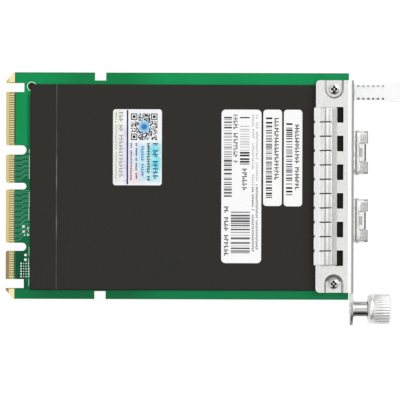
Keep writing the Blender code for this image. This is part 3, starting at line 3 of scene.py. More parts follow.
import bmesh
import bpy
import numpy as np
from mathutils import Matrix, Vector


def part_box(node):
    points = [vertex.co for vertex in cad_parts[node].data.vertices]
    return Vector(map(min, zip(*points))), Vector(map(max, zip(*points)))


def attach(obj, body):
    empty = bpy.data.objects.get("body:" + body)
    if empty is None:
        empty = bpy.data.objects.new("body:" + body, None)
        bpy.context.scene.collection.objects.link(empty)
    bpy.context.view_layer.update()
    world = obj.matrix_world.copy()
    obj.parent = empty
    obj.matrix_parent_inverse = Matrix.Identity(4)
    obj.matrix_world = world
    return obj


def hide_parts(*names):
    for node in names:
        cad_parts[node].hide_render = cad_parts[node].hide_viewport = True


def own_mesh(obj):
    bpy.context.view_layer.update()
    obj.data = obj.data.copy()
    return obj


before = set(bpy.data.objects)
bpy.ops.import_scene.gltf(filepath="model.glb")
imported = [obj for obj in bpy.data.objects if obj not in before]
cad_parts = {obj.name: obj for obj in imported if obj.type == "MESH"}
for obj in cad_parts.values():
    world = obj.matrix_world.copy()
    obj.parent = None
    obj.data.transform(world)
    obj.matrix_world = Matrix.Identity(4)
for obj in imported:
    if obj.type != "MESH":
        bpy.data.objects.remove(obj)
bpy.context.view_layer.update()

# Studio
# A plain white floor, an even white sky and two soft lamps, so that a colour renders about as it is written.
# The camera looks straight down from about a metre, with the photograph's slight turn. PIXEL is the real size of
# one of the photograph's pixels.
MM = 0.001
PIXEL = 0.3355 * MM
PHOTO_WIDTH = 400
BOARD_LEVEL = 14.3 * MM
CAMERA_HEIGHT = 1.1
CAMERA_TURN = math.radians(0.18)
SENSOR = 36.0
SKY_LEVEL = 0.66
FLOOR_REACH = 4.0


def linear(code):
    """The linear colour of an sRGB hex code: value / 12.92 when dark, else ((value + 0.055) / 1.055) ** 2.4."""
    value = np.array([int(code[i:i + 2], 16) for i in (1, 3, 5)]) / 255
    return (*np.where(value <= 0.04045, value / 12.92, ((value + 0.055) / 1.055) ** 2.4), 1.0)


def add(tree, kind, inputs=None, **settings):
    """Adds a node. Each input is a plain value, or a pair of another node and its output's name or number."""
    node = tree.nodes.new(kind)
    for name, value in settings.items():
        setattr(node, name, value)
    for name, value in (inputs or {}).items():
        if isinstance(value, tuple) and isinstance(value[0], bpy.types.Node):
            tree.links.new(value[0].outputs[value[1]], node.inputs[name])
        else:
            node.inputs[name].default_value = value
    return node


scene = bpy.context.scene
scene.view_settings.view_transform = "Standard"

camera = bpy.data.objects.new("camera", bpy.data.cameras.new("camera"))
camera.data.sensor_width = SENSOR
camera.data.lens = SENSOR * CAMERA_HEIGHT / (PHOTO_WIDTH * PIXEL)
camera.location = (-7.2 * MM, -0.31 * MM, BOARD_LEVEL + CAMERA_HEIGHT)
camera.rotation_euler = (0, 0, CAMERA_TURN)
camera.data.clip_start, camera.data.clip_end = 0.05, 20
scene.collection.objects.link(camera)
scene.camera = camera

world = bpy.data.worlds.new("sky")
world.use_nodes = True
scene.world = world
tree = world.node_tree
tree.nodes.clear()
# Polished metal shows the sky, so the sky is brightest halfway up, greyer overhead, where the camera hangs, and
# dark towards the horizon, most of all on the near side, where the studio is open. The lens, and what it sees
# through clear parts, gets plain white.
path = add(tree, "ShaderNodeLightPath")
toward = add(tree, "ShaderNodeTexCoord")
climb = add(tree, "ShaderNodeSeparateXYZ", {0: (toward, "Generated")})
mirrored = 1.0
for axis, start, end, from_level, to_level in (
    ("Z", 0.0, 0.7, 0.16, 1.05), ("Z", 0.86, 0.985, 1.0, 0.66), ("Y", -0.8, -0.3, 0.12, 1.0),
):
    ramp = add(tree, "ShaderNodeMapRange", {
        "Value": (climb, axis), "From Min": start, "From Max": end, "To Min": from_level, "To Max": to_level},
        interpolation_type="SMOOTHSTEP")
    mirrored = (add(tree, "ShaderNodeMath", {0: (ramp, 0), 1: mirrored}, operation="MULTIPLY"), 0)
plain = add(
    tree, "ShaderNodeMath", {0: (path, "Is Camera Ray"), 1: (path, "Is Transmission Ray")}, operation="MAXIMUM")
strength = add(tree, "ShaderNodeMix", {0: (path, "Is Glossy Ray"), 2: SKY_LEVEL, 3: mirrored}, data_type="FLOAT")
strength = add(tree, "ShaderNodeMix", {0: (plain, 0), 2: (strength, 0), 3: 1.0}, data_type="FLOAT")
sky = add(tree, "ShaderNodeBackground", {"Color": (1, 1, 1, 1), "Strength": (strength, 0)})
add(tree, "ShaderNodeOutputWorld", {"Surface": (sky, 0)})

for name, place, size, power in (
    ("key_lamp", (0.95, 0.7, 1.1), 1.5, 11.0),
    ("fill_lamp", (-1.0, -0.5, 1.1), 1.5, 4.0),
):
    lamp = bpy.data.objects.new(name, bpy.data.lights.new(name, "AREA"))
    lamp.data.size = size
    lamp.data.energy = power
    lamp.location = place
    lamp.rotation_euler = (-Vector(place)).to_track_quat("-Z", "Y").to_euler()
    scene.collection.objects.link(lamp)

# The floor glows white to the lens, to gloss and through clear parts, and still takes a faint shadow.
floor_finish = bpy.data.materials.new("white_floor")
floor_finish.use_nodes = True
tree = floor_finish.node_tree
tree.nodes.clear()
path = add(tree, "ShaderNodeLightPath")
seen = (path, "Is Camera Ray")
for ray in ("Is Glossy Ray", "Is Transmission Ray"):
    seen = (add(tree, "ShaderNodeMath", {0: seen, 1: (path, ray)}, operation="MAXIMUM"), 0)
share = add(tree, "ShaderNodeMath", {0: seen, 1: 0.92}, operation="MULTIPLY")
paint = add(tree, "ShaderNodeBsdfDiffuse", {"Color": (0.9, 0.9, 0.9, 1)})
glow = add(tree, "ShaderNodeEmission", {"Color": (1, 1, 1, 1), "Strength": 1.04})
mixed = add(tree, "ShaderNodeMixShader", {0: (share, 0), 1: (paint, 0), 2: (glow, 0)})
add(tree, "ShaderNodeOutputMaterial", {"Surface": (mixed, 0)})
floor_mesh = bpy.data.meshes.new("floor")
floor_mesh.from_pydata(
    [(x * FLOOR_REACH, y * FLOOR_REACH, 0) for x, y in ((-1, -1), (1, -1), (1, 1), (-1, 1))], [], [(0, 1, 2, 3)])
floor = bpy.data.objects.new("floor", floor_mesh)
floor.location = (0, 0, -0.05 * MM)
floor_mesh.materials.append(floor_finish)
scene.collection.objects.link(floor)


# Circuit board
# Glass-epoxy laminate 1.57 mm thick with copper tracks under a glossy green solder mask. The tongue's tip is
# ground to a bevel, which bares the tan laminate, and the cut edges show it too.
TIP, BOARD_LOW, BOARD_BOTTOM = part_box("circuit_board")[0]
_, BOARD_HIGH, BOARD_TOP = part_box("circuit_board")[1]
GOLD_RISE = 0.05 * MM
BOARD_BOTTOM += GOLD_RISE
BOARD_TOP -= GOLD_RISE
MIDDLE = (BOARD_LOW + BOARD_HIGH) / 2
CONTACT_PITCH = 0.6 * MM
CONTACT_COUNTS = np.array([28, 14, 28, 14])
KEY_SLOTS = np.array([3.1, 2.2, 2.7, 0.0]) * MM
GROUP_MARGIN = 0.85 * MM
group_widths = (CONTACT_COUNTS - 1) * CONTACT_PITCH + 2 * GROUP_MARGIN
tongue_width = group_widths.sum() + KEY_SLOTS.sum()
group_tops = MIDDLE + tongue_width / 2 - np.concatenate(([0], np.cumsum(group_widths + KEY_SLOTS)[:-1]))


class Finish:
    """A material of two shades in soft patches, with a fine grain that varies its roughness and its relief.

    patch and grain are the real sizes of those spots, in metres. A mask is a pair of a node and its output, and
    is 1 inside a region and 0 outside it."""

    def __init__(self, name, light, dark, patch, rough, grain, relief, metallic=0.0, **values):
        self.material = bpy.data.materials.new(name)
        self.material.use_nodes = True
        tree = self.tree = self.material.node_tree
        tree.nodes.clear()
        self.coords = add(tree, "ShaderNodeTexCoord")
        place = (self.coords, "Object")
        spots = add(tree, "ShaderNodeTexNoise", {"Vector": place, "Scale": 1 / patch, "Detail": 3.0})
        shades = {0: (spots, 0), 6: linear(light), 7: linear(dark)}
        self.colour = (add(tree, "ShaderNodeMix", shades, data_type="RGBA"), 2)
        fine = add(tree, "ShaderNodeTexNoise", {"Vector": place, "Scale": 1 / grain, "Detail": 4.0})
        sheen = add(tree, "ShaderNodeMapRange", {"Value": (fine, 0), "To Min": rough[0], "To Max": rough[1]})
        bump = add(tree, "ShaderNodeBump", {"Height": (fine, 0), "Distance": relief, "Strength": 1.0})
        self.shader = add(tree, "ShaderNodeBsdfPrincipled", {
            "Base Color": self.colour, "Roughness": (sheen, 0), "Normal": (bump, 0), "Metallic": metallic})
        for label, value in values.items():
            self.shader.inputs[label.replace("_", " ").title().replace("Ior", "IOR")].default_value = value
        add(tree, "ShaderNodeOutputMaterial", {"Surface": (self.shader, 0)})

    def between(self, value, low, high, soft=0.1 * MM):
        """A mask, 1 where a value lies between two others, with a soft edge: the lesser of two ramps."""
        up = add(self.tree, "ShaderNodeMapRange", {
            "Value": value, "From Min": low - soft, "From Max": low, "To Min": 0.0, "To Max": 1.0})
        down = add(self.tree, "ShaderNodeMapRange", {
            "Value": value, "From Min": high, "From Max": high + soft, "To Min": 1.0, "To Max": 0.0})
        return add(self.tree, "ShaderNodeMath", {0: (up, 0), 1: (down, 0)}, operation="MINIMUM"), 0

    def zone(self, axis, low, high, soft=0.1 * MM, of="Object"):
        """A mask by place along an axis, or by one part of the outward direction where of is Normal."""
        parts = add(self.tree, "ShaderNodeSeparateXYZ", {0: (self.coords, of)})
        return self.between((parts, axis), low, high, soft)

    def tilted(self, low, high, soft=0.1):
        """A mask by the height of the outward direction, up or down: 0 on upright walls, 1 on level faces."""
        parts = add(self.tree, "ShaderNodeSeparateXYZ", {0: (self.coords, "Normal")})
        upright = add(self.tree, "ShaderNodeMath", {0: (parts, "Z")}, operation="ABSOLUTE")
        return self.between((upright, 0), low, high, soft)

    def spots(self, per_metre, low, high, least, detail=3.0):
        """A mask of random spots: noise that is stretched from low and high to least and 1."""
        noise = add(self.tree, "ShaderNodeTexNoise", {
            "Vector": (self.coords, "Object"), "Scale": per_metre, "Detail": detail})
        return add(self.tree, "ShaderNodeMapRange", {
            "Value": (noise, 0), "From Min": low, "From Max": high, "To Min": least}), 0

    def paint(self, code, mask, *others):
        """Lays a colour over the rest, mixed by the product of some masks, and returns that product."""
        for other in others:
            mask = (add(self.tree, "ShaderNodeMath", {0: mask, 1: other}, operation="MULTIPLY"), 0)
        over = add(self.tree, "ShaderNodeMix", {0: mask, 6: self.colour, 7: linear(code)}, data_type="RGBA")
        self.tree.links.new(over.outputs[2], self.shader.inputs["Base Color"])
        self.colour = (over, 2)
        return mask

    def patch(self, code, **ranges):
        """Paints a box. Each range, named by its axis, is the lowest and highest place and the soft edge."""
        return self.paint(code, *(self.zone(axis, *span) for axis, span in ranges.items()))

    def metal(self, mask, outside, inside):
        """Makes the metallic share one number outside a mask and another inside it."""
        share = add(self.tree, "ShaderNodeMapRange", {"Value": mask, "To Min": outside, "To Max": inside})
        self.tree.links.new(share.outputs[0], self.shader.inputs["Metallic"])


# Solder mask: glossy lacquer, a little darker where it lies on bare laminate than over copper. It thins out
# along the routed edges. Between the contacts there is no mask, only brown laminate.
mask_green = Finish(
    "green_solder_mask", "#0f9b5a", "#0b8a4e", 9 * MM, (0.3, 0.42), 0.5 * MM, 0.01 * MM, specular_ior_level=0.12)
routed = mask_green.patch(
    "#0e6743", X=(TIP, TIP + 7.6 * MM, 0.8 * MM), Y=(BOARD_LOW + 3 * MM, BOARD_HIGH - 25 * MM, 0.6 * MM))
# Painted shade: the mask is darker still towards the lower left corner, where the light falls off.
last_group = mask_green.zone("Y", BOARD_LOW, BOARD_LOW + 17 * MM, 1.5 * MM)
mask_green.paint("#0b5234", last_group, routed)
# Painted shadow: a darker band of mask along the insulator's left edge.
mask_green.patch(
    "#0b6b41", X=(TIP + 7.6 * MM, TIP + 9 * MM, 0.9 * MM),
    Y=(BOARD_LOW + 4.5 * MM, BOARD_HIGH - 8 * MM, 1.5 * MM))
# Painted shade: the mask is darker along the lower guide strip, most of all over part of its length, where the
# light falls off. The upper strip is darker over part of its length too.
lower_strip = (BOARD_LOW - 1 * MM, BOARD_LOW + 3 * MM, 0.4 * MM)
upper_strip = (BOARD_HIGH - 4.2 * MM, BOARD_HIGH + 1 * MM, 0.4 * MM)
mask_green.patch("#0b7b48", Y=lower_strip)
mask_green.patch("#0c653b", X=(-58 * MM, -32 * MM, 13 * MM), Y=lower_strip)
mask_green.patch("#0d8048", X=(-48 * MM, -32 * MM, 13 * MM), Y=upper_strip)
inner = mask_green.zone("Y", BOARD_LOW + 0.35 * MM, BOARD_HIGH - 0.35 * MM, 0.25 * MM)
rim = add(mask_green.tree, "ShaderNodeMath", {0: 1.0, 1: inner}, operation="SUBTRACT")
mask_green.paint("#0a6a3d", (rim, 0))
mask_green.patch("#2b6a3c", X=(TIP, TIP + 3.3 * MM, 0.15 * MM))
comb = mask_green.patch("#b3ab6c", X=(TIP, TIP + 2.88 * MM, 0.1 * MM))
for top, width in zip(group_tops, group_widths):
    mask_green.paint("#3d2b0a", mask_green.zone(
        "Y", top - width + GROUP_MARGIN - 0.2 * MM, top - GROUP_MARGIN + 0.2 * MM, 0.05 * MM), comb)
bevel = mask_green.patch("#dfcd85", X=(TIP - 1 * MM, TIP + 1.06 * MM, 0.05 * MM))
mask_green.paint("#a1885a", last_group, bevel)
mask_green.paint("#a99a5c", mask_green.tilted(-1.0, 0.3, 0.2))
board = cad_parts["circuit_board"]
board.data.materials.clear()
board.data.materials.append(mask_green.material)


# Gold contacts
# Hard gold plate on copper, one pad for each contact on both faces of the tongue, in four groups between the key
# slots. The two corner tabs carry broad ground pads of the same gold.
PAD = np.array([1.72, 0.34, 0.08]) * MM
PAD_START = 1.08 * MM
SEAT = 0.02 * MM


def surface(name, points, finish, body="card", closed=(False, True), caps=True, keep=None, smooth=True):
    """A mesh of points on a grid, [row, column] or [copy, row, column]: each face joins four neighbours.

    closed says whether the last row joins the first, and the last column the first. caps fills the end rows. keep
    is a true or false for each face of one grid. A closed shape gets its faces turned outwards."""
    points = np.asarray(points, float)
    if points.ndim == 3:
        points = points[None]
    copies, rows, columns = points.shape[:3]
    index = np.arange(rows * columns).reshape(rows, columns)
    index = np.concatenate((index, index[:1])) if closed[0] else index
    index = np.concatenate((index, index[:, :1]), axis=1) if closed[1] else index
    quads = np.stack((index[:-1, :-1], index[1:, :-1], index[1:, 1:], index[:-1, 1:]), axis=-1)
    quads = quads.reshape(-1, 4) if keep is None else quads[keep]
    starts = np.arange(copies)[:, None] * rows * columns
    faces = (quads[None] + starts[:, :, None]).reshape(-1, 4).tolist()
    if caps and not closed[0] and closed[1]:
        ring = np.arange(columns)
        faces += (ring[::-1] + starts).tolist() + (ring + (rows - 1) * columns + starts).tolist()
    mesh = bpy.data.meshes.new(name)
    mesh.from_pydata(points.reshape(-1, 3).tolist(), [], faces)
    work = bmesh.new()
    work.from_mesh(mesh)
    bmesh.ops.delete(work, geom=[v for v in work.verts if not v.link_faces], context="VERTS")
    if closed[1]:
        bmesh.ops.recalc_face_normals(work, faces=work.faces)
    work.to_mesh(mesh)
    work.free()
    return dressed(name, mesh, finish, body, smooth)


def dressed(name, mesh, finish, body="card", smooth=True):
    """Puts a finished mesh in the scene, shaded smooth between its sharp edges, on a body of the frame.

    Broad flat faces, which have nine corners or more, stay flat."""
    mesh.materials.clear()
    mesh.materials.append(finish.material)
    if smooth:
        mesh.shade_smooth()
        mesh.set_sharp_from_angle(angle=math.radians(38))
        corners = np.zeros(len(mesh.polygons), np.int32)
        mesh.polygons.foreach_get("loop_total", corners)
        mesh.polygons.foreach_set("use_smooth", corners < 9)
    piece = bpy.data.objects.new(name, mesh)
    scene.collection.objects.link(piece)
    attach(piece, body)
    return piece


def rounded_blocks(low, high, corner, edge, turn=4, steps=3):
    """Blocks with round upright corners and rounded rims, [copy, row, column, xyz].

    At each height the outline is a rounded rectangle. Along a rim it draws in by edge times (1 - cosine) while the
    height goes up by edge times the sine."""
    low, high = np.atleast_2d(low).astype(float), np.atleast_2d(high).astype(float)
    angle = np.linspace(0, math.pi / 2, turn)[None] + np.arange(4)[:, None] * math.pi / 2
    normal = np.stack((np.cos(angle), np.sin(angle)), -1).reshape(-1, 2)
    sign = np.sign(np.stack((np.cos(angle.mean(1)), np.sin(angle.mean(1))), -1)).repeat(turn, axis=0)
    swing = np.linspace(0, math.pi / 2, steps + 1)
    inset = edge * (1 - np.cos(swing))
    inset = np.concatenate((inset[::-1], inset))[None, :, None, None]
    rise = edge * np.sin(swing)
    half = (high - low)[:, None, None, :2] / 2
    middle = (high + low)[:, None, None, :2] / 2
    height = np.concatenate((low[:, 2:] + edge - rise[::-1], high[:, 2:] - edge + rise), axis=1)
    flat = middle + sign[None, None] * (half - corner) + normal[None, None] * (corner - inset)
    return np.concatenate((flat, np.broadcast_to(height[:, :, None, None], (*flat.shape[:3], 1))), axis=-1)


def at_x(x, y):
    """Places on the board with one x and many y."""
    return np.column_stack((np.full(len(y), x), y))


# Hard gold: plated on nickel, satin, slightly paler where connectors have rubbed it.
gold = Finish(
    "hard_gold_plate", "#fff6c8", "#fbeaac", 1.5 * MM, (0.25, 0.4), 0.25 * MM, 0.004 * MM, metallic=0.25)
contact_y = np.concatenate([
    top - GROUP_MARGIN - np.arange(count) * CONTACT_PITCH for top, count in zip(group_tops, CONTACT_COUNTS)])
contact_low = np.column_stack((
    at_x(TIP + PAD_START, contact_y - PAD[1] / 2), np.full(len(contact_y), BOARD_TOP - SEAT)))
to_underside = np.array([0, 0, BOARD_BOTTOM - BOARD_TOP - PAD[2] + 2 * SEAT])
contact_low = np.concatenate((contact_low, contact_low + to_underside))
surface("contact_pads", rounded_blocks(contact_low, contact_low + PAD, 0.12 * MM, 0.015 * MM, 2, 1), gold)


def slab(name, outline, low, high, finish):
    """A flat outline of (x, y) points with thickness: the same outline at two heights, capped."""
    return surface(name, [np.column_stack((outline, np.full(len(outline), z))) for z in (low, high)], finish)


for word, side in (("left", 1), ("right", -1)):
    tab = np.array([(1.07, 34.7), (1.07, 36.2), (2.3, 37.85), (2.95, 37.85), (2.95, 34.7)]) * MM
    tab = np.array([TIP, MIDDLE]) + tab * (1, side)
    slab(f"ground_pad_{word}", tab, BOARD_TOP - SEAT, BOARD_TOP + 2 * SEAT, gold)
    slab(f"ground_pad_under_{word}", tab, BOARD_BOTTOM - 2 * SEAT, BOARD_BOTTOM + SEAT, gold)


# Tracks and vias beside the tongue
# Copper tracks fan out from the contacts and show through the mask as paler ridges. Small test points and open
# vias, tinned by hot air, lie between them, and thin white marks lie beside them.
PHOTO_TIP, PHOTO_EDGE, PHOTO_TURN = 5.8, 72.2, 0.0035


def photographed(px, py):
    """The place on the board of a point in the photograph, which is turned by a fifth of a degree."""
    px, py = np.asarray(px, float) - PHOTO_TIP, np.asarray(py, float) - PHOTO_EDGE
    return np.stack((TIP + px * PIXEL, BOARD_HIGH - (py - PHOTO_TURN * px) * PIXEL), -1)


def eased(path, radius, steps=4):
    """A path whose corners are eased: each becomes a quadratic curve that starts and ends radius away from it."""
    path = np.asarray(path, float)
    corner = path[1:-1]
    to_before, to_after = path[:-2] - corner, path[2:] - corner
    length_before = np.linalg.norm(to_before, axis=1, keepdims=True)
    length_after = np.linalg.norm(to_after, axis=1, keepdims=True)
    reach = np.minimum(radius, 0.49 * np.minimum(length_before, length_after))
    start = corner + to_before / length_before * reach
    end = corner + to_after / length_after * reach
    t = np.linspace(0, 1, steps)[:, None]
    curve = (1 - t) ** 2 * start[:, None] + 2 * t * (1 - t) * corner[:, None] + t ** 2 * end[:, None]
    return np.concatenate((path[:1], curve.reshape(-1, path.shape[1]), path[-1:]))


def carried(path, profile, up=(0, 0, 1)):
    """A profile of (side, up) points carried along a path, [row, column, xyz], square to the path all the way."""
    path, profile = np.asarray(path, float), np.asarray(profile, float)
    ahead = np.gradient(path, axis=0)
    ahead /= np.linalg.norm(ahead, axis=1, keepdims=True)
    side = np.cross(ahead, np.broadcast_to(up, ahead.shape))
    side /= np.linalg.norm(side, axis=1, keepdims=True)
    over = np.cross(side, ahead)
    return path[:, None] + side[:, None] * profile[None, :, :1] + over[:, None] * profile[None, :, 1:]


def tracks(name, starts, ends, width, level, finish, rise=0.03 * MM):
    """Copper tracks from one row of places to another: straight, then at 45 degrees, then straight again."""
    run = np.abs(ends[:, 1] - starts[:, 1])
    spare = (ends[:, 0] - starts[:, 0] - run) / 2
    first = np.stack((starts[:, 0] + spare, starts[:, 1]), -1)
    second = np.stack((ends[:, 0] - spare, ends[:, 1]), -1)
    flat = np.stack((starts, first, second, ends), axis=1)
    path = np.concatenate((flat, np.full((*flat.shape[:2], 1), level)), axis=-1)
    half = width / 2
    profile = np.array([(-half, -rise), (-half * 0.8, rise), (half * 0.8, rise), (half, -rise)])
    return surface(name, np.stack([carried(line, profile) for line in path]), finish)


# Mask over copper: the same lacquer, brighter than over laminate.
track_green = Finish("mask_over_copper", "#78c8a4", "#4ab487", 3 * MM, (0.2, 0.32), 0.4 * MM, 0.005 * MM)
# Tin: dull white metal left by hot-air levelling.
tin = Finish("tinned_copper", "#ffffff", "#eff0ee", 1 * MM, (0.35, 0.5), 0.2 * MM, 0.01 * MM, metallic=0.3)

for word, first, last, fan in (("short", 28, 42, 1.6 * MM), ("long", 42, 70, 2.4 * MM)):
    fan_y = contact_y[first:last]
    fan_start = at_x(TIP + 2.8 * MM, fan_y)
    fan_end = at_x(TIP + 8.4 * MM, fan_y + fan * np.linspace(0.2, 1, last - first))
    pairs = np.arange(last - first) % 3 != 2
    tracks(f"fan_out_{word}", fan_start[pairs], fan_end[pairs], 0.13 * MM, BOARD_TOP, track_green)


def studs(name, places, radius, level, rise, finish, sides=14):
    """Small round pads: circles at two heights, the upper a little smaller, capped."""
    places = np.atleast_2d(places)
    radius = np.broadcast_to(radius, len(places))[:, None, None]
    angle = np.linspace(0, math.tau, sides, endpoint=False)
    circle = np.stack((np.cos(angle), np.sin(angle)), -1)[None]
    rings = [
        np.concatenate((places[:, None] + circle * radius * size, np.full((len(places), sides, 1), z)), -1)
        for size, z in ((1.0, level - rise / 2), (1.0, level + rise / 2), (0.85, level + rise))
    ]
    return surface(name, np.stack(rings, axis=1), finish)


test_points = photographed([23.5, 23.7, 24.6, 28.8, 25.6, 25.6], [226.5, 231.5, 235, 235, 255, 259.7])
studs("test_points", test_points, np.array([1.5, 1.4, 0.8, 0.7, 1.3, 1.3]) * PIXEL, BOARD_TOP, 0.03 * MM, tin)
via_x, via_y = np.meshgrid([21.3, 23.9, 26.2, 28.6], np.linspace(263.5, 276.5, 6))
vias = photographed(via_x.ravel(), via_y.ravel())
studs("open_vias", vias, np.tile([0.26, 0.17, 0.19, 0.19], 6) * MM, BOARD_TOP, 0.02 * MM, tin)


def flat_blocks(name, low, high, level, recess_shade, rise, finish, smooth=False):
    """Thin blocks on a surface, from their lower left and upper right places: print, marks and bands."""
    bottom, top = (np.full((len(low), 1), level + shift) for shift in (-recess_shade, rise))
    blocks = rounded_blocks(np.hstack((low, bottom)), np.hstack((high, top)), 0.02 * MM, 0, 2, 1)
    return surface(name, blocks, finish, smooth=smooth)


# Thin white marks lie along the insulator's left edge, as short bars with gaps, in the white ink finish.
silkscreen = Finish("white_ink", "#f2f4f2", "#dfe3df", 1 * MM, (0.5, 0.6), 0.2 * MM, 0.002 * MM)
left, right, top, bottom = np.array([
    (28.9, 29.4, 149, 153), (29.0, 29.5, 155, 179), (29.0, 29.5, 192, 207), (28.6, 29.1, 208, 220),
    (27.4, 28.0, 227, 230), (28.3, 29.3, 227, 228), (28.3, 28.8, 230, 232), (27.2, 27.8, 233, 236),
    (29.0, 29.4, 247, 256), (28.6, 29.0, 258, 266), (29.0, 29.5, 267, 277), (28.8, 29.2, 279, 286)]).T
flat_blocks("insulator_edge_marks", photographed(left, bottom), photographed(right, top), BOARD_TOP, 0.01 * MM,
            0.015 * MM, silkscreen, smooth=True)


def turned(name, profile, centre, finish, body="card", axis="z", sides=48, shape=None, closed=False):
    """A profile of (radius, height) points turned about an axis: x and y are radius times cosine and sine.

    shape, where given, takes the grids of radius, height and angle and returns the first two as changed."""
    profile = np.asarray(profile, float)
    angle = np.linspace(0, math.tau, sides, endpoint=False)[None]
    radius, height = (np.repeat(profile[:, i:i + 1], sides, axis=1) for i in (0, 1))
    if shape is not None:
        radius, height = shape(radius, height, angle)
    across, up = radius * np.cos(angle), radius * np.sin(angle)
    order = {"z": (across, up, height), "x": (height, across, up)}[axis]
    points = np.stack(order, -1) + np.asarray(centre, float)
    return surface(name, points, finish, body, closed=(closed, True), caps=not closed)


# The tooling hole in the corner has a tinned land round it. The hole, half under the insulator, is filled by a
# black disc: painted shade in the hole.
tooling_hole_place = (TIP + 8.6 * MM, BOARD_HIGH - 4.7 * MM, BOARD_TOP)
land_profile = np.array([(1.36, -0.02), (1.36, 0.03), (1.56, 0.03), (1.56, -0.02)]) * MM
turned("tooling_land", land_profile, tooling_hole_place, tin, closed=True)


# Insulator
# A black polyester film, punched out, creased once across the card and stuck along its edges. It lies slightly
# wavy, so it catches the light in soft streaks.
FILM = 0.25 * MM
FILM_TOP = BOARD_TOP + 0.05 * MM + FILM
CREASE_X = TIP + 17.0 * MM
SCREW_RELIEF = 2.9 * MM


def thickened(piece, thickness):
    """Gives a sheet its thickness, half on each side."""
    sheet = piece.modifiers.new("sheet", "SOLIDIFY")
    sheet.thickness = thickness
    sheet.offset = 0


def stands_for(piece, node):
    """Shows a piece in place of a node of the solids."""
    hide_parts(node)
    return piece


# Polyester film: calendered satin, with faint long waves and fine dust-like grain. A light line is painted along
# the crease, brightest over two stretches: partly stress-whitening of the film, partly a painted highlight on the
# ridge.
film_black = Finish(
    "black_polyester_film", "#2e2925", "#272923", 14 * MM, (0.42, 0.56), 0.35 * MM, 0.006 * MM,
    specular_ior_level=0.15)
upper_crest_light = film_black.zone("Y", 5.5 * MM, 12.5 * MM, 3 * MM)
lower_crest_light = film_black.zone("Y", -11 * MM, -7.5 * MM, 3 * MM)
crest_whitening_and_highlight = add(film_black.tree, "ShaderNodeMath", {0: upper_crest_light, 1: lower_crest_light}, operation="MAXIMUM")
crest_whitening_and_highlight = add(film_black.tree, "ShaderNodeMapRange", {"Value": (crest_whitening_and_highlight, 0), "To Min": 0.3})
# Painted highlight and stress-whitening: a light line along the crease, brighter over two stretches.
film_black.paint(
    "#96948f", film_black.zone("X", CREASE_X - 0.07 * MM, CREASE_X + 0.07 * MM, 0.1 * MM),
    film_black.spots(90.0, 0.35, 0.7, 0.35, 5.0), (crest_whitening_and_highlight, 0))
# Painted shade: a black disc in the film's finish fills the tooling hole.
hole_shade_profile = np.array([
    (0.05, 0.12), (0.95, 0.1), (1.2, 0.02), (1.2, -0.05), (0.6, -0.05), (0.6, -1.4), (0.05, -1.4)]) * MM
turned("tooling_hole_shade", hole_shade_profile, tooling_hole_place, film_black)
film_low, film_high = np.array(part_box("insulator"))
x = np.unique(np.concatenate((
    np.linspace(film_low[0], film_high[0], 150), CREASE_X + np.linspace(-0.6, 0.6, 13) * MM)))
y = np.linspace(film_low[1], film_high[1], 110)
# The height is two slow waves and a narrow bell-shaped ridge along the crease.
grid_x, grid_y = np.meshgrid(x, y, indexing="ij")
wave = 0.012 * np.sin(grid_x * 95 + 2 * np.sin(grid_y * 40)) + 0.01 * np.sin(grid_y * 130 + grid_x * 30)
crease = 0.09 * np.exp(-((grid_x - CREASE_X) / (0.22 * MM)) ** 2)
height = FILM_TOP - FILM / 2 + (wave + crease) * MM
centre_x = (grid_x[:-1, :-1] + grid_x[1:, 1:]) / 2
centre_y = (grid_y[:-1, :-1] + grid_y[1:, 1:]) / 2
relief_x, relief_high, _ = np.array(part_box("bracket_screw_left")[0]) - SCREW_RELIEF
relief_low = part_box("bracket_screw_right")[1][1] + SCREW_RELIEF
shown = ~((centre_x > relief_x) & ((centre_y > relief_high) | (centre_y < relief_low)))
film = surface(
    "insulator_film", np.stack((grid_x, grid_y, height), -1), film_black, closed=(False, False), keep=shown)
thickened(film, FILM)
stands_for(film, "insulator")


# Stickers and their print
# White synthetic paper, die cut with round corners and printed in black. The print here is generic: bars and
# blocks in random widths, which stand for codes and lines of text and say nothing.
LABEL_RISE = 0.012 * MM
code_low, code_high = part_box("label_code")
PRINT_LEVEL = code_high[2]
# Synthetic paper: matt white, very fine fibres.
paper = Finish(
    "white_synthetic_paper", "#ffffff", "#fbfbfb", 6 * MM, (0.5, 0.62), 0.2 * MM, 0.004 * MM,
    specular_ior_level=0.15)
# Security paper: the same with a thin metallised coat, which shimmers from cyan to violet in soft fields.
shimmer_paper = Finish(
    "shimmering_security_paper", "#fbfbfa", "#f4f5fa", 4 * MM, (0.4, 0.55), 0.2 * MM, 0.004 * MM,
    specular_ior_level=0.15)
flecks = shimmer_paper.spots(700.0, 0.35, 0.65, 0.35)
for left, right, top, bottom, tint in (
    (8.6, 15.2, 12.5, 23.5, "#a5e7f0"), (13.0, 15.4, 12.0, 19.5, "#7fdcea"), (3.9, 4.6, 7.0, 24.0, "#dcd6f2"),
    (0.3, 2.6, 1.0, 24.0, "#eceee2"), (6.0, 8.6, 12.0, 18.0, "#d9e2f6"), (5.8, 9.0, 20.5, 24.0, "#f4dbe6"),
    (9.0, 12.0, 3.0, 9.0, "#cfe6f4"),
):
    across = shimmer_paper.zone("X", code_low[0] + left * MM, code_low[0] + right * MM, 1.2 * MM)
    down = shimmer_paper.zone("Y", code_high[1] - bottom * MM, code_high[1] - top * MM, 1.6 * MM)
    shimmer_paper.paint(tint, across, down, flecks)
# Thermal print: resin from a ribbon, slightly glossy.
inks = {
    name: Finish(f"{name}_print", light, dark, 2 * MM, (0.4, 0.5), 0.2 * MM, 0.001 * MM, specular_ior_level=0.15)
    for name, light, dark in (
        ("black", "#222226", "#1b1b1e"), ("dim", "#56565b", "#4a4a4f"), ("grey", "#a2a2a6", "#939398"),
        ("violet", "#33365f", "#2b2d55"), ("light_blue", "#93c9e8", "#7dbbe0"),
        ("deep_blue", "#3d8bd0", "#2f7cc4"), ("teal", "#1c7f9e", "#176f8c"))}

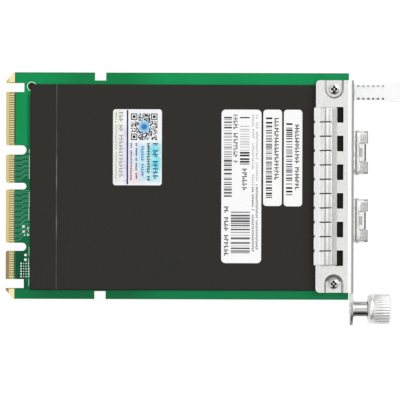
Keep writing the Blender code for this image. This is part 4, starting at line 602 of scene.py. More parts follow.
stickers = {}
for word, sheet, corner in (
    ("code", shimmer_paper, 0.9 * MM), ("product", paper, 1.4 * MM), ("serial", paper, 1.1 * MM),
    ("address", paper, 1.1 * MM),
):
    low, high = np.array(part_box(f"label_{word}"))
    low[2] = FILM_TOP - 0.02 * MM
    sticker = surface(f"sticker_{word}", rounded_blocks(low, high, corner, 0.03 * MM, 6, 1), sheet)
    stands_for(sticker, f"label_{word}")
    stickers[word] = np.array([low[0], high[1]])


def printed(name, word, boxes, colour):
    """Print on a sticker: thin blocks. A box is left, right, top, bottom in mm from the sticker's upper left."""
    left, right, top, bottom = np.asarray(boxes, float).T * MM
    corner_x, corner_y = stickers[word]
    flat_blocks(
        f"print_{name}", np.column_stack((corner_x + left, corner_y - bottom)),
        np.column_stack((corner_x + right, corner_y - top)), PRINT_LEVEL, LABEL_RISE, LABEL_RISE, inks[colour])


def bars(left, right, top, bottom, seed, module=0.17, most=3, gap=1):
    """Bars across a strip, one to most modules wide, with gaps of gap to two more modules, in random order."""
    random = np.random.default_rng(seed)
    steps = np.stack((random.integers(1, most + 1, 400), random.integers(gap, gap + 3, 400)), -1) * module
    edges = top + np.concatenate(([0], np.cumsum(steps)))
    return [(left, right, start, end) for start, end in zip(edges[:-1:2], edges[1::2]) if end < bottom]


def text(left, right, top, bottom, seed, pitch=0.95, word=7.0, weight=0.2):
    """Strokes along a line that stand for letters: for each, one full stroke and one short stroke beside it.

    weight is the width of a full stroke as a share of the pitch. Some places stay empty, between words."""
    random = np.random.default_rng(seed)
    count = int((bottom - top) / pitch)
    start = top + np.arange(count) * pitch
    kept = random.uniform(size=count) > 1 / word
    tall = right - left
    foot = left + tall * random.uniform(0.0, 0.55, count)
    reach = tall * random.uniform(0.3, 0.45, count)
    second = start + pitch * (weight + 0.12)
    full = np.stack((np.full(count, left), np.full(count, right), start, start + weight * pitch), -1)
    short = np.stack((foot, foot + reach, second, second + pitch * random.uniform(0.25, 0.45, count)), -1)
    return np.concatenate((full[kept], short[kept]))


# The dot code: random dots round three square marks, and round a blue disc in the middle.
CODE_DOTS = 29
CODE_SIDE = 8.9
CODE_LEFT, CODE_TOP = 6.0, 1.4
MARK_DOTS = 7
row, column = np.nonzero(np.random.default_rng(5).uniform(size=(CODE_DOTS, CODE_DOTS)) > 0.48)
middle_dot, far_dot = (CODE_DOTS - 1) / 2, CODE_DOTS - MARK_DOTS - 1
centre_free = np.hypot(row - middle_dot, column - middle_dot) > 6.2
corner_free = ~(((row <= MARK_DOTS) & ((column <= MARK_DOTS) | (column >= far_dot)))
                | ((row >= far_dot) & (column <= MARK_DOTS)))
row, column = (line[centre_free & corner_free] for line in (row, column))
square_mark = np.array([(0, 7, 0, 1), (0, 7, 6, 7), (0, 1, 1, 6), (6, 7, 1, 6), (2, 5, 2, 5)])
far_mark = CODE_DOTS - MARK_DOTS
dot_boxes = np.concatenate([np.stack((column, column + 1, row, row + 1), -1)] + [
    square_mark + (left, left, top, top) for left, top in ((0, 0), (far_mark, 0), (0, far_mark))])
code_corner = np.array([CODE_LEFT, CODE_LEFT, CODE_TOP, CODE_TOP])
printed("code_dots", "code", dot_boxes * CODE_SIDE / CODE_DOTS + code_corner, "black")
disc = [stickers["code"] + np.array([CODE_LEFT + CODE_SIDE / 2, -CODE_TOP - CODE_SIDE / 2]) * MM]
studs("print_code_disc", disc, 1.75 * MM, PRINT_LEVEL, 0.008 * MM, inks["light_blue"], sides=40)
studs("print_code_core", disc, 0.95 * MM, PRINT_LEVEL, 0.014 * MM, inks["deep_blue"], sides=40)
printed("code_line", "code", [(4.6, 5.12, 0.25, 25.2)], "violet")

# Each print is made of lines: what is drawn, its left, right, top and bottom in mm, its seed and its measures.
for name, word, colour, *lines in (
    ("code_strip", "code", "grey", (text, 0.7, 1.4, 1.2, 24.0, 10, 0.7),
     (text, 2.0, 3.4, 1.0, 24.0, 11, 1.1, 12, 0.3)),
    ("code_dim", "code", "dim", (text, 5.8, 6.45, 11.4, 24.2, 21, 0.6, 9, 0.4)),
    ("code_black", "code", "black", (text, 7.55, 8.15, 11.4, 24.2, 22, 0.55, 9, 0.45),
     (text, 11.4, 12.4, 11.4, 24.2, 23, 0.85, 12, 0.4)),
    ("code_blue", "code", "deep_blue", (text, 9.4, 10.4, 11.6, 24.0, 24, 0.85, 3, 0.35)),
    ("code_teal", "code", "teal", (text, 13.4, 15.1, 11.3, 24.2, 25, 1.2, 20, 0.4)),
    ("product_bars", "product", "grey", (bars, 0.84, 3.5, 2.4, 29.1, 31, 0.2, 2, 1),
     (bars, 6.2, 9.4, 5.5, 14.5, 32, 0.2, 1, 2), (bars, 3.2, 9.6, 34.2, 41.5, 33),
     (bars, 3.2, 9.6, 42.0, 48.6, 34, 0.2, 2, 2)),
    ("product_strong_bars", "product", "black", (bars, 0.84, 3.5, 2.5, 8.5, 61, 0.33, 1, 3),
     (bars, 0.84, 3.5, 17.0, 29.3, 62, 0.36, 1, 2), (bars, 6.2, 9.4, 2.5, 4.0, 63, 0.4, 1, 2),
     (bars, 6.2, 9.4, 14.2, 18.6, 64, 0.3, 2, 1), (bars, 3.2, 9.6, 35.4, 40.5, 65, 0.33, 1, 2),
     (bars, 3.2, 9.6, 43.0, 48.0, 66, 0.33, 1, 2)),
    ("product_text", "product", "dim", (text, 3.9, 5.5, 1.7, 20.2, 35, 1.03, 30, 0.26),
     (text, 6.9, 8.6, 19.8, 27.7, 36, 1.25, 30, 0.28), (text, 0.9, 2.4, 32.5, 49.6, 37, 1.2, 14, 0.32)),
    ("product_notes", "product", "grey", (text, 10.2, 11.0, 1.8, 26.0, 38, 0.8, 5),
     (text, 11.5, 12.3, 1.8, 26.0, 39, 0.8, 5)),
    ("product_small", "product", "dim", (text, 10.2, 11.0, 26.0, 48.3, 40, 0.62, 9, 0.3),
     (text, 11.5, 12.3, 26.0, 48.3, 41, 0.62, 9, 0.3)),
    ("serial_bars", "serial", "dim", (bars, 0.9, 3.0, 5.6, 23.9, 49, 0.2, 2, 1)),
    ("serial_strong", "serial", "black", (bars, 0.9, 3.0, 2.6, 5.8, 43, 0.3, 2, 1),
     (bars, 0.9, 3.0, 23.9, 29.9, 44, 0.3, 2, 1), (text, 3.7, 5.2, 2.8, 24.0, 45, 1.1, 16, 0.3)),
    ("address_bars", "address", "dim", (bars, 0.8, 2.9, 7.5, 22.95, 59, 0.2, 2, 1)),
    ("address_strong", "address", "black", (bars, 0.8, 2.9, 4.5, 7.7, 53, 0.3, 2, 1),
     (bars, 0.8, 2.9, 22.95, 28.95, 54, 0.3, 2, 1), (text, 3.7, 5.2, 5.0, 27.6, 55, 1.1, 16, 0.3)),
):
    printed(name, word, np.concatenate([draw(*values) for draw, *values in lines]), colour)


# Bracket
# One blank of 1 mm plated steel, punched, drawn for the two screws and folded four times. Punching leaves soft
# edges, and the plating is satin with a very fine speckle.
def kept_shape(name, node, finish, edge, segments=2):
    """A copy of a CAD node with merged corners, flat faces joined up, and its sharp edges rounded."""
    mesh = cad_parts[node].data.copy()
    mesh.name = name
    work = bmesh.new()
    work.from_mesh(mesh)
    bmesh.ops.remove_doubles(work, verts=work.verts, dist=0.0005 * MM)
    bmesh.ops.dissolve_limit(work, angle_limit=math.radians(0.5), verts=work.verts, edges=work.edges)
    work.to_mesh(mesh)
    work.free()
    piece = dressed(name, mesh, finish)
    bevel = piece.modifiers.new("edges", "BEVEL")
    bevel.width = edge
    bevel.segments = segments
    bevel.limit_method = "ANGLE"
    bevel.angle_limit = math.radians(32)
    stands_for(piece, node)


FLANGE_START, _, FLANGE_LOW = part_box("io_bracket")[0]
FACE_FRONT, EAR_SIDE, FLANGE_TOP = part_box("io_bracket")[1]
SHEET = 1.0 * MM
GASKET_PITCH = 4.8 * MM
GASKET_FINGERS = 11
GASKET_HALF = GASKET_FINGERS * GASKET_PITCH / 2
POCKET_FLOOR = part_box("bracket_screw_left")[1][2] - 0.9 * MM

# Zinc-nickel plated steel: pale satin grey with a fine speckle from the rolled sheet. Under the gaskets it is
# painted dark: painted shade, which shows through the slots.
plated = Finish(
    "satin_plated_steel", "#fbfbf9", "#dadad9", 0.7 * MM, (0.3, 0.46), 0.3 * MM, 0.02 * MM, metallic=0.8)
plated.patch("#4a4a4a", X=(FLANGE_START - 0.3 * MM, FLANGE_START + 6.4 * MM),
             Y=(MIDDLE - GASKET_HALF + 0.3 * MM, MIDDLE + GASKET_HALF - 0.3 * MM))
# The folded edge is painted a little darker where it turns down to the face: painted shade along the bend.
plated.patch("#a3a3a2", X=(FACE_FRONT - 0.55 * MM, FACE_FRONT - 0.02 * MM, 0.3 * MM),
             Z=(FLANGE_TOP - 1.9 * MM, FLANGE_TOP, 0.4 * MM))
# The two bends round each drawn pocket are painted darker on their slopes: painted shade.
lower_bend = plated.zone("Z", POCKET_FLOOR + 0.02 * MM, POCKET_FLOOR + 0.18 * MM, 0.06 * MM)
upper_bend = plated.zone("Z", POCKET_FLOOR + 0.48 * MM, FLANGE_TOP - 0.01 * MM, 0.06 * MM)
bends = add(plated.tree, "ShaderNodeMath", {0: lower_bend, 1: upper_bend}, operation="MAXIMUM")
plated.paint("#565655", (bends, 0), plated.tilted(0.0, 0.85),
             plated.zone("X", FLANGE_START + 2 * MM, FLANGE_START + 9.5 * MM))
# Painted shade: the lower pocket is darker at its closed end, from the screw's head up its wall.
shaded_pocket_x, shaded_pocket_y, _ = np.mean(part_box("bracket_screw_right"), axis=0)
flat_place = add(
    plated.tree, "ShaderNodeVectorMath", {0: (plated.coords, "Object"), 1: (1.0, 1.0, 0.0)}, operation="MULTIPLY")
from_screw = add(
    plated.tree, "ShaderNodeVectorMath", {0: (flat_place, 0), 1: (shaded_pocket_x, shaded_pocket_y, 0.0)}, operation="DISTANCE")
plated.paint("#838382", plated.between((from_screw, "Value"), 1.9 * MM, 3.0 * MM, 0.25 * MM),
             plated.zone("Y", shaded_pocket_y + 1.1 * MM, shaded_pocket_y + 4 * MM, 0.6 * MM))
# The ear's cut edges are bare steel, and its rounded corners are painted dark: painted shade.
on_ear = plated.paint("#bdbdbc", plated.zone("Y", MIDDLE - 60 * MM, MIDDLE - 39 * MM),
                      plated.zone("X", -0.75, 0.75, 0.15, "Normal"))
plated.paint("#868685", on_ear, plated.tilted(0.1, 0.88))
kept_shape("bracket", "io_bracket", plated, 0.12 * MM)


# Spring gaskets
# Thin tinned copper-alloy strips, slotted into fingers, bulged, heat treated, and clipped over the flanges so
# that they press on the cage of the bay and ground the card.
STRIP = 0.12 * MM
STRIP_REST = 0.11 * MM
SLOT = 0.32 * MM
NOTCH = 0.62 * MM
BULGE_START, BULGE_LENGTH = 1.1 * MM, 4.3 * MM
# Tinned spring alloy: bright, mottled with the fine spangle of the tin. The bulges' far slopes and the strips'
# tails are painted darker in speckles: painted shade.
spring_alloy = Finish(
    "tinned_spring_alloy", "#ececea", "#b4b4b3", 0.55 * MM, (0.22, 0.4), 0.3 * MM, 0.02 * MM, metallic=0.9)
tail = spring_alloy.zone("X", FLANGE_START + 3.7 * MM, FLANGE_START + 9 * MM, 0.4 * MM)
spring_alloy.paint("#c2c2c1", tail, spring_alloy.spots(1 / (0.9 * MM), 0.35, 0.65, 0.45))
# Painted shade: a grey line along the groove in the bulges' crest.
spring_alloy.patch("#a9a9a8", X=(FLANGE_START + 2.9 * MM, FLANGE_START + 3.25 * MM, 0.12 * MM))
# Beside the bend the strip is painted whiter and made less metallic.
white_margin = spring_alloy.patch("#f4f4f3", X=(FLANGE_START - 1 * MM, FLANGE_START + 1.1 * MM, 0.3 * MM))
spring_alloy.metal(white_margin, 0.9, 0.4)


def clip_strip(word, start, tail, fingers, pitch, place):
    """A slotted spring strip clipped round a flange's back edge, as a path by finger grid.

    Along the path, the height over the flange rises by 0.83 mm * sin(pi * share) ** 1.5, less a narrow groove
    along the crest. Across, each finger is crowned by 0.04 mm. Quads in the slots, and in the wider notches at the
    bend, are left out. A strip with more than two fingers hooks into windows at its tail. place turns the distance
    along, the height and the distance across into the object's x, y and z."""
    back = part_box(f"gasket_{word}")[0][0] + STRIP / 2
    bulge_end = start + BULGE_START + BULGE_LENGTH
    hooks = fingers > 2
    lead = eased([
        (start + 1.5 * MM, -SHEET - STRIP_REST), (back, -SHEET - STRIP_REST), (back, STRIP_REST),
        (start - 0.1 * MM, STRIP_REST), (start + BULGE_START, STRIP_REST)], 0.25 * MM)
    share = np.linspace(0, 1, 71)[1:-1]
    swell = np.sin(math.pi * share) ** 1.5
    groove = 0.15 * MM * np.exp(-((share - 0.45) / 0.04) ** 2)
    bulge = np.column_stack((
        start + BULGE_START + BULGE_LENGTH * share, STRIP_REST + 0.83 * MM * swell - groove))
    rest_end = [(bulge_end, STRIP_REST), (tail, STRIP_REST)]
    trail = eased([*rest_end, (tail, -SHEET)], 0.15 * MM) if hooks else np.array(rest_end)
    path = np.concatenate((lead, bulge, trail))
    half = fingers * pitch / 2
    finger = np.concatenate(([SLOT / 2], np.linspace(NOTCH / 2, pitch - NOTCH / 2, 7), [pitch - SLOT / 2]))
    across = (np.arange(fingers)[:, None] * pitch + finger[None] - half).ravel()
    across[0], across[-1] = -half, half
    crown = np.tile(0.04 * MM * (2 * finger / pitch - 1) ** 2, fingers)
    swelled = np.concatenate((np.zeros(len(lead)), swell, np.zeros(len(trail))))
    height = path[:, 1:] - crown[None] * swelled[:, None]
    middle_x, middle_h = ((path[:-1, i] + path[1:, i])[:, None] / 2 for i in (0, 1))
    middle_v = (across[:-1] + across[1:])[None] / 2
    from_slot = (0.5 - np.abs((middle_v / pitch + fingers / 2) % 1 - 0.5)) * pitch
    inner = np.abs(middle_v) < half - pitch / 2
    on_bulge = (middle_x > start + BULGE_START + 0.2 * MM) & (middle_x < bulge_end - 0.2 * MM)
    at_bend = middle_x < start - 0.12 * MM
    cut_away = inner & (((from_slot < 0.01 * MM) & on_bulge) | ((from_slot < NOTCH / 2) & at_bend))
    if hooks:
        window = np.abs((middle_v / pitch + 1) % 2 - 1) * pitch
        cut_away |= (middle_x > tail - 0.3 * MM) & (middle_h < STRIP_REST - 0.02 * MM) & (window > 2.45 * MM)
    grid = np.stack(place(*np.broadcast_arrays(path[:, :1], height, across[None])), -1)
    piece = surface(f"spring_gasket_{word}", grid, spring_alloy, closed=(False, False), keep=~cut_away)
    thickened(piece, STRIP)
    stands_for(piece, f"gasket_{word}")


hook_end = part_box("gasket_secondary")[1][0] - STRIP / 2
clip_strip("secondary", FLANGE_START, hook_end, GASKET_FINGERS, GASKET_PITCH,
           lambda x, height, across: (x, MIDDLE + across, FLANGE_TOP + height))
clip_strip("component", FLANGE_START, hook_end, GASKET_FINGERS, GASKET_PITCH,
           lambda x, height, across: (x, MIDDLE - across, FLANGE_LOW - height))
side_low, side_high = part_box("gasket_side")
clip_strip("side", side_low[0] + 0.65 * MM, side_high[0] - STRIP / 2, 2, (side_high[2] - side_low[2]) / 2,
           lambda x, height, across: (x, EAR_SIDE + height, (side_low[2] + side_high[2]) / 2 - across))


# Flange screws and their nuts
# Small pan-head screws, cold headed with a cross recess and nickel plated. They hold the bracket's flange to the
# board, and each is driven into a round tinned nut that is soldered to it.

# Bright nickel: a clean mirror, apart from the recess, which is painted dark: painted shade in the recess. The
# flange screws' heads are also painted dark on the near side of the shoulder: a painted shadow.
driven_nickel = Finish(
    "driven_nickel_plate", "#ececeb", "#dedede", 3 * MM, (0.14, 0.26), 0.2 * MM, 0.003 * MM, metallic=1.0)
driven_nickel.paint("#232323", (add(driven_nickel.tree, "ShaderNodeAttribute", attribute_name="recess_shade"), 2))


def marked(piece, name, values):
    """Gives each point of a mesh a number, which its finish reads by name."""
    mark = piece.data.attributes.new(name, "FLOAT", "POINT")
    mark.data.foreach_set("value", np.ravel(values).astype(np.float32))


def driven_screw(
        name, node, top, centre, toward=1, body="card", axis="z", long=1.12 * MM, deep=0.6 * MM, shoulder_shade=0.0):
    """A screw turned from its profile, its head lowered in a cross by deep times two ramps.

    The ramps fall from 1 to 0 across the long walls and the end walls of the cross. The recess is painted dark,
    apart from its middle, as painted shade, and the head's shoulder on the near side is painted dark by a given
    share, as a painted shadow. top lists the head's (radius, drop) points from the middle of its crown outwards,
    then the rest of the screw. toward is 1 or -1 for a head that faces along the axis or against it."""
    crown = np.linspace(0.02 * MM, top[0][0], 30)
    dome = top[0][1] * (crown / top[0][0]) ** 2
    profile = np.concatenate((np.column_stack((crown, dome)), top[1:]))
    recess_shade = {}

    def recess(radius, height, angle):
        sides = np.abs(radius * np.cos(angle)), np.abs(radius * np.sin(angle))
        arm, reach = np.minimum(*sides), np.maximum(*sides)
        ramp = np.clip((0.4 * MM - arm) / (0.1 * MM), 0, 1) * np.clip((long - reach) / (0.3 * MM), 0, 1)
        ramp[len(crown):] = 0
        # Painted shadow: the near side of the head's shoulder is darkened.
        shoulder = np.clip(-4 * np.sin(angle) - 2.6, 0, 1) * (np.abs(radius - 1.36 * MM) < 0.25 * MM)
        recess_shade["share"] = np.maximum(ramp * np.clip((radius - 0.27 * MM) / (0.1 * MM), 0, 1), shoulder_shade * shoulder)
        return radius, toward * -(height + deep * ramp)

    piece = turned(name, profile, centre, driven_nickel, body, axis, sides=96, shape=recess)
    marked(piece, "recess_shade", recess_shade["share"])
    stands_for(piece, node)


for word in ("left", "right"):
    low, high = np.array(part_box(f"bracket_screw_{word}"))
    length = (high[2] - low[2]) / MM
    head = np.array([
        (1.2, 0.12), (1.35, 0.2), (1.48, 0.32), (1.56, 0.46), (1.6, 0.58), (1.8, 0.62), (1.85, 0.68), (1.85, 0.9),
        (1.0, 0.9), (1.0, length - 0.3), (0.7, length), (0.02, length)]) * MM
    driven_screw(
        f"flange_screw_{word}", f"bracket_screw_{word}", head, (*(low + high)[:2] / 2, high[2]), shoulder_shade=0.85)
    kept_shape(f"round_nut_{word}", f"board_nut_{word}", tin, 0.1 * MM)


# Captive thumbscrew
# A turned sleeve pressed into the ear, a screw with a stop collar, a spring between them, and a knurled knob
# pressed on the screw. All of it is brass with bright nickel.

# Nickel plate: the sleeve's flanks are painted darker, the near flank most: painted shade along the cylinder.
flank_shaded_nickel = Finish(
    "nickel_plate_painted_dark_flanks", "#ececeb", "#dedede", 3 * MM, (0.12, 0.22), 0.2 * MM, 0.003 * MM, metallic=1.0)
flank_shaded_nickel.paint("#a3a3a2", flank_shaded_nickel.zone("Y", 0.82, 2.0, 0.12, "Normal"))
flank_shaded_nickel.paint("#5b5b5a", flank_shaded_nickel.zone("Y", -2.0, -0.6, 0.15, "Normal"))
kept_shape("thumbscrew_sleeve", "captive_sleeve", flank_shaded_nickel, 0.08 * MM)
screw_low, screw_high = np.array(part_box("captive_screw"))
screw_axis = (screw_low[1:] + screw_high[1:]) / 2
below = np.array([
    (1.35, 0.02), (1.45, 0.08), (1.45, 1.47), (1.15, 1.87), (1.15, 5.87), (1.8, 5.87), (1.8, 6.37), (1.15, 6.37),
    (1.15, 9.05), (1.45, 9.45), (1.45, 12.5), (1.05, 12.95), (0.02, 12.95)]) * MM
driven_screw("thumbscrew_screw", "captive_screw", below, (screw_high[0], *screw_axis), 1, "thumbscrew", "x")

# The knob: a plain collar, a ring groove, the knurl with soft ends, a dished face, and a bore over the sleeve. It
# is blasted before it is plated, so it is satin and nearly white.
KNURLS = 30
KNOB_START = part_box("thumb_knob")[0][0]
satin_nickel = Finish(
    "satin_nickel_plate", "#f2f2f1", "#e6e6e5", 2 * MM, (0.3, 0.42), 0.15 * MM, 0.006 * MM, metallic=0.8)


def knurled(radius, height, angle):
    """Straight grooves along the knob: the radius falls by 0.16 mm times a cosine power round the knob."""
    rim = (radius > 4.9 * MM) & (height > KNOB_START + 2.3 * MM)
    groove = (0.5 + 0.5 * np.cos(KNURLS * angle)) ** 4
    return radius - 0.16 * MM * groove * rim, height


knob_profile = np.array([
    (3.15, 0.0), (4.25, 0.0), (4.5, 0.1), (4.95, 0.6), (5.1, 0.9), (5.1, 1.5), (5.04, 1.58), (4.8, 1.64),
    (4.8, 1.94), (4.98, 2.05), (5.1, 2.35), (5.1, 4.5), (5.1, 6.95), (4.95, 7.25), (4.6, 7.5), (4.2, 7.5),
    (4.0, 7.36), (1.75, 7.36), (1.5, 7.2), (1.5, 5.6), (3.15, 5.6)]) * MM + (0, KNOB_START)
knob = turned("thumbscrew_knob", knob_profile, (0, *screw_axis), satin_nickel, "thumbscrew", "x",
              KNURLS * 8, knurled, closed=True)
stands_for(knob, "thumb_knob")


def wound_spring(name, node, wire, turns, axis, body="card"):
    """A round wire of radius wire carried along a helix inside a node's box. axis is 0 for X, 2 for Z.

    The turns at the two ends lie 1.15 wires apart, and the turns between share the rest of the length evenly."""
    low, high = np.array(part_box(node))
    middle, across = (low + high) / 2, (axis + 1) % 3
    radius = (high - low)[across] / 2 - wire
    turn = np.linspace(0, turns, turns * 28 + 1)
    ended = np.clip(turn, 0, 1) + np.clip(turn - turns + 1, 0, 1)
    closed_turns = 4.6 * wire
    free = high[axis] - low[axis] - 2 * wire - closed_turns
    along = low[axis] + wire + ended * closed_turns / 2 + (turn - ended) / (turns - 2) * free
    angle = math.tau * turn
    path = np.column_stack((
        along, middle[across] + radius * np.cos(angle), middle[(axis + 2) % 3] + radius * np.sin(angle)))
    ring = np.linspace(0, math.tau, 10, endpoint=False)
    section = wire * np.column_stack((np.cos(ring), np.sin(ring)))
    piece = surface(name, carried(np.roll(path, axis, axis=1), section, np.eye(3)[axis]), spring_alloy, body)
    return stands_for(piece, node)


coil_piece = wound_spring("thumbscrew_spring", "captive_spring", 0.12 * MM, 6, 0, "screw_spring")
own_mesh(coil_piece)


# Pull tab
# A milky, slightly rubbery moulding. Its anchor sits behind the bracket's face, its neck is notched on both edges
# so that it flexes, and its head is thicker for the fingers.
TAB_START, TAB_NEAR, TAB_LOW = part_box("pull_tab")[0]
TAB_END, TAB_FAR, TAB_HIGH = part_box("pull_tab")[1]
TAB_MIDDLE, TAB_LEVEL = (TAB_NEAR + TAB_FAR) / 2, (TAB_LOW + TAB_HIGH) / 2
TAB_NECK, TAB_SIDE, TAB_HEAD = 1.3 * MM, 2.5 * MM, 3.1 * MM
NOTCHES = FACE_FRONT + (1.6 + 1.65 * np.arange(6)) * MM
# Elastomer: milky and half clear, with a soft satin skin.
milky = Finish(
    "milky_elastomer", "#ffffff", "#fcfdfd", 8 * MM, (0.35, 0.5), 0.6 * MM, 0.01 * MM,
    specular_ior_level=0.2, transmission_weight=0.92)
# A thin grey web closes each notch: painted shade in the notch. The upper row's webs are painted lighter: painted
# light.
notch_shade = Finish(
    "notch_shade_web", "#8e9296", "#7f8388", 2 * MM, (0.4, 0.55), 0.3 * MM, 0.005 * MM, specular_ior_level=0.15)
# Painted light: the webs of the upper row are lighter.
notch_shade.patch("#c3c6c9", Y=(TAB_MIDDLE, TAB_MIDDLE + 5 * MM))


def tab_points():
    """A rounded rectangle carried along the tab, [row, column, xyz], as wide as the tab is at each place.

    The half width is straight, less a dent of (1 - square) ** 0.6 at each notch, then swells smoothly to the head
    and ends in a half circle."""
    end = TAB_END - TAB_HEAD
    x = np.linspace(FACE_FRONT + 0.05 * MM, end, 300)
    swell = np.clip((x - FACE_FRONT - 10.6 * MM) / (2.6 * MM), 0, 1)
    half = TAB_SIDE + (TAB_HEAD - TAB_SIDE) * swell ** 2 * (3 - 2 * swell)
    from_notch = (x[:, None] - NOTCHES[None]) / (0.5 * MM)
    half -= 0.75 * MM * (np.clip(1 - from_notch ** 2, 0, 1) ** 0.6).sum(1)
    swing = np.linspace(0, 1.53, 16)[1:]
    x = np.concatenate((x, end + TAB_HEAD * np.sin(swing)))
    half = np.concatenate((half, TAB_HEAD * np.cos(swing)))
    edge = np.minimum(0.35 * MM, 0.8 * half)[:, None]
    angle = np.linspace(0, math.pi / 2, 5)[None] + np.arange(4)[:, None] * math.pi / 2
    sign = np.sign(np.stack((np.cos(angle.mean(1)), np.sin(angle.mean(1))), -1)).repeat(5, axis=0)
    angle = angle.ravel()[None]
    y = TAB_MIDDLE + sign[None, :, 0] * (half[:, None] - edge) + edge * np.cos(angle)
    z = TAB_LEVEL + sign[None, :, 1] * ((TAB_HIGH - TAB_LOW) / 2 - edge) + edge * np.sin(angle)
    return np.stack((np.broadcast_to(x[:, None], y.shape), y, z), -1)


for name, points in (
    ("tab", tab_points()),
    ("tab_neck", rounded_blocks(
        (TAB_START + 1.5 * MM, TAB_MIDDLE - TAB_NECK, TAB_LOW + SHEET),
        (FACE_FRONT + 0.3 * MM, TAB_MIDDLE + TAB_NECK, TAB_HIGH - SHEET), 0.1 * MM, 0.1 * MM)),
    ("tab_anchor", rounded_blocks(
        (TAB_START, TAB_MIDDLE - 2.1 * MM, TAB_LOW), (TAB_START + 1.6 * MM, TAB_MIDDLE + 2.1 * MM, TAB_HIGH),
        0.3 * MM, 0.25 * MM)),
):
    stands_for(surface(name, points, milky), "pull_tab")
web_y = TAB_MIDDLE + np.tile([2.13, -2.13], 6) * MM
web_low = np.column_stack((
    np.repeat(NOTCHES, 2) - 0.45 * MM, web_y - 0.36 * MM, np.full(12, TAB_LEVEL + 2.5 * MM)))
web_high = web_low + np.array([0.9, 0.72, 0.4]) * MM
surface("tab_shaded_notch_webs", rounded_blocks(web_low, web_high, 0.3 * MM, 0.08 * MM), notch_shade)


# Module cages
# Folded nickel-plated copper alloy 0.25 mm thick, with vent holes, a floor that holds the module's latch tongue,
# and a slotted spring collar at the mouth. The receptacle at the back is a black glass-filled moulding.
CAGE_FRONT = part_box("cage_base_left")[1][0]
CAGE_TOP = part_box("cage_shell_left")[1][2]
COLLAR_SHEET = 0.15 * MM
LATCH_HALF = 3.1 * MM
HEM = 0.35 * MM
# Nickel plate: satin and nearly white. The latch tongue's top is painted pure white and made mostly non-metallic:
# a painted highlight. Its end is painted dark: painted shade.
cage_plate = Finish(
    "nickel_plated_cage", "#f9f9f7", "#e6e6e4", 0.8 * MM, (0.22, 0.38), 0.3 * MM, 0.015 * MM, metallic=0.7)
tongue_highlight = cage_plate.patch("#ffffff", X=(CAGE_FRONT - 4.6 * MM, CAGE_FRONT + 1 * MM),
                             Z=(CAGE_TOP - 0.2 * MM, CAGE_TOP + 1 * MM))
cage_plate.paint("#3e3e3d", tongue_highlight, cage_plate.zone("X", CAGE_FRONT - 1.15 * MM, CAGE_FRONT, 0.05 * MM))
cage_plate.metal(tongue_highlight, 0.7, 0.15)
# Its end is rolled down. Its top is painted white, a painted highlight, and its turn is painted dark, painted
# shade.
tongue_end = Finish(
    "tongue_end_painted_light", "#ffffff", "#f1f1f0", 0.8 * MM, (0.3, 0.45), 0.3 * MM, 0.01 * MM, metallic=0.2)
tongue_end.patch("#3e3e3d", X=(CAGE_FRONT - 1.12 * MM, CAGE_FRONT, 0.04 * MM))
# The collars are tinned spring alloy too, with broad spangles. Their folds, hemmed edges and steep flanks are
# painted darker and less metallic: painted shade.
collar_alloy = Finish(
    "spangled_tin_on_spring_alloy", "#ffffff", "#737372", 0.65 * MM, (0.25, 0.42), 0.3 * MM, 0.03 * MM,
    metallic=0.85)
folded = (add(collar_alloy.tree, "ShaderNodeAttribute", attribute_name="folded"), 2)
fold_and_hem_shade = (add(collar_alloy.tree, "ShaderNodeMath", {
    0: folded, 1: collar_alloy.tilted(0.1, 0.86, 0.06)}, operation="MAXIMUM"), 0)
collar_alloy.paint("#c6c6c5", fold_and_hem_shade)
hemmed = add(collar_alloy.tree, "ShaderNodeMapRange", {"Value": folded, "From Min": 0.5})
collar_alloy.paint("#6c6c6b", (hemmed, 0))
collar_alloy.metal(fold_and_hem_shade, 0.85, 0.25)
# Moulding: black resin filled with glass, dull and very finely grained.
black_moulding = Finish(
    "glass_filled_moulding", "#1d1d1e", "#161617", 3 * MM, (0.45, 0.6), 0.12 * MM, 0.01 * MM)


def cage_loop(half_y, half_z, corner):
    """The cage's outline, a rounded rectangle, as points with their outward directions and distances along a side.

    Each straight side has a point at both edges of its two slots and of the latch's gap, and each corner is a
    quarter circle. The last result marks the steps that cross a slot. The side with the latch has none."""
    points, outward, along, slit = [], [], [], []
    for number in range(4):
        heading = number * math.pi / 2
        normal, ahead = (np.array([math.cos(heading + k), math.sin(heading + k)]) for k in (0, math.pi / 2))
        half, reach = (half_y, half_z) if number % 2 == 0 else (half_z, half_y)
        slots = np.array([-1, 1, -1, 1]) * reach / 3 + np.array([-1, -1, 1, 1]) * 0.1 * MM
        place = np.unique(np.concatenate((
            np.linspace(corner - reach, reach - corner, 9), slots,
            np.array([-LATCH_HALF - HEM, -LATCH_HALF, LATCH_HALF, LATCH_HALF + HEM]))))
        turning = np.linspace(0, math.pi / 2, 5)[1:-1, None]
        arc_normal = normal * np.cos(turning) + ahead * np.sin(turning)
        arc_centre = normal * (half - corner) + ahead * (reach - corner)
        points += [normal * half + ahead * place[:, None], arc_centre + corner * arc_normal]
        outward += [np.broadcast_to(normal, (len(place), 2)), arc_normal]
        along += [place, np.full(3, reach)]
        middle = (place[:-1] + place[1:]) / 2
        slit += [(np.abs(np.abs(middle) - reach / 3) < 0.08 * MM) & (normal[1] < 0.5), np.zeros(4, bool)]
    return (np.concatenate(lines) for lines in (points, outward, along, slit))


# From the front edge back: how far back, and how far out. A flat band, fingers that rise to a fold, dip, and swell
# again where they touch the bracket's opening.
collar_path = np.array([
    (0.0, 0.0), (0.1, 0.01), (0.4, 0.01), (2.6, 0.01), (2.75, 0.04), (2.95, 0.14), (3.2, 0.26), (3.45, 0.34),
    (3.55, 0.36), (3.66, 0.3), (3.85, 0.16), (4.05, 0.02), (4.2, -0.07), (4.32, -0.09), (4.5, -0.03), (4.8, 0.08),
    (5.1, 0.18), (5.4, 0.22), (5.7, 0.16), (6.1, 0.0)]) * MM


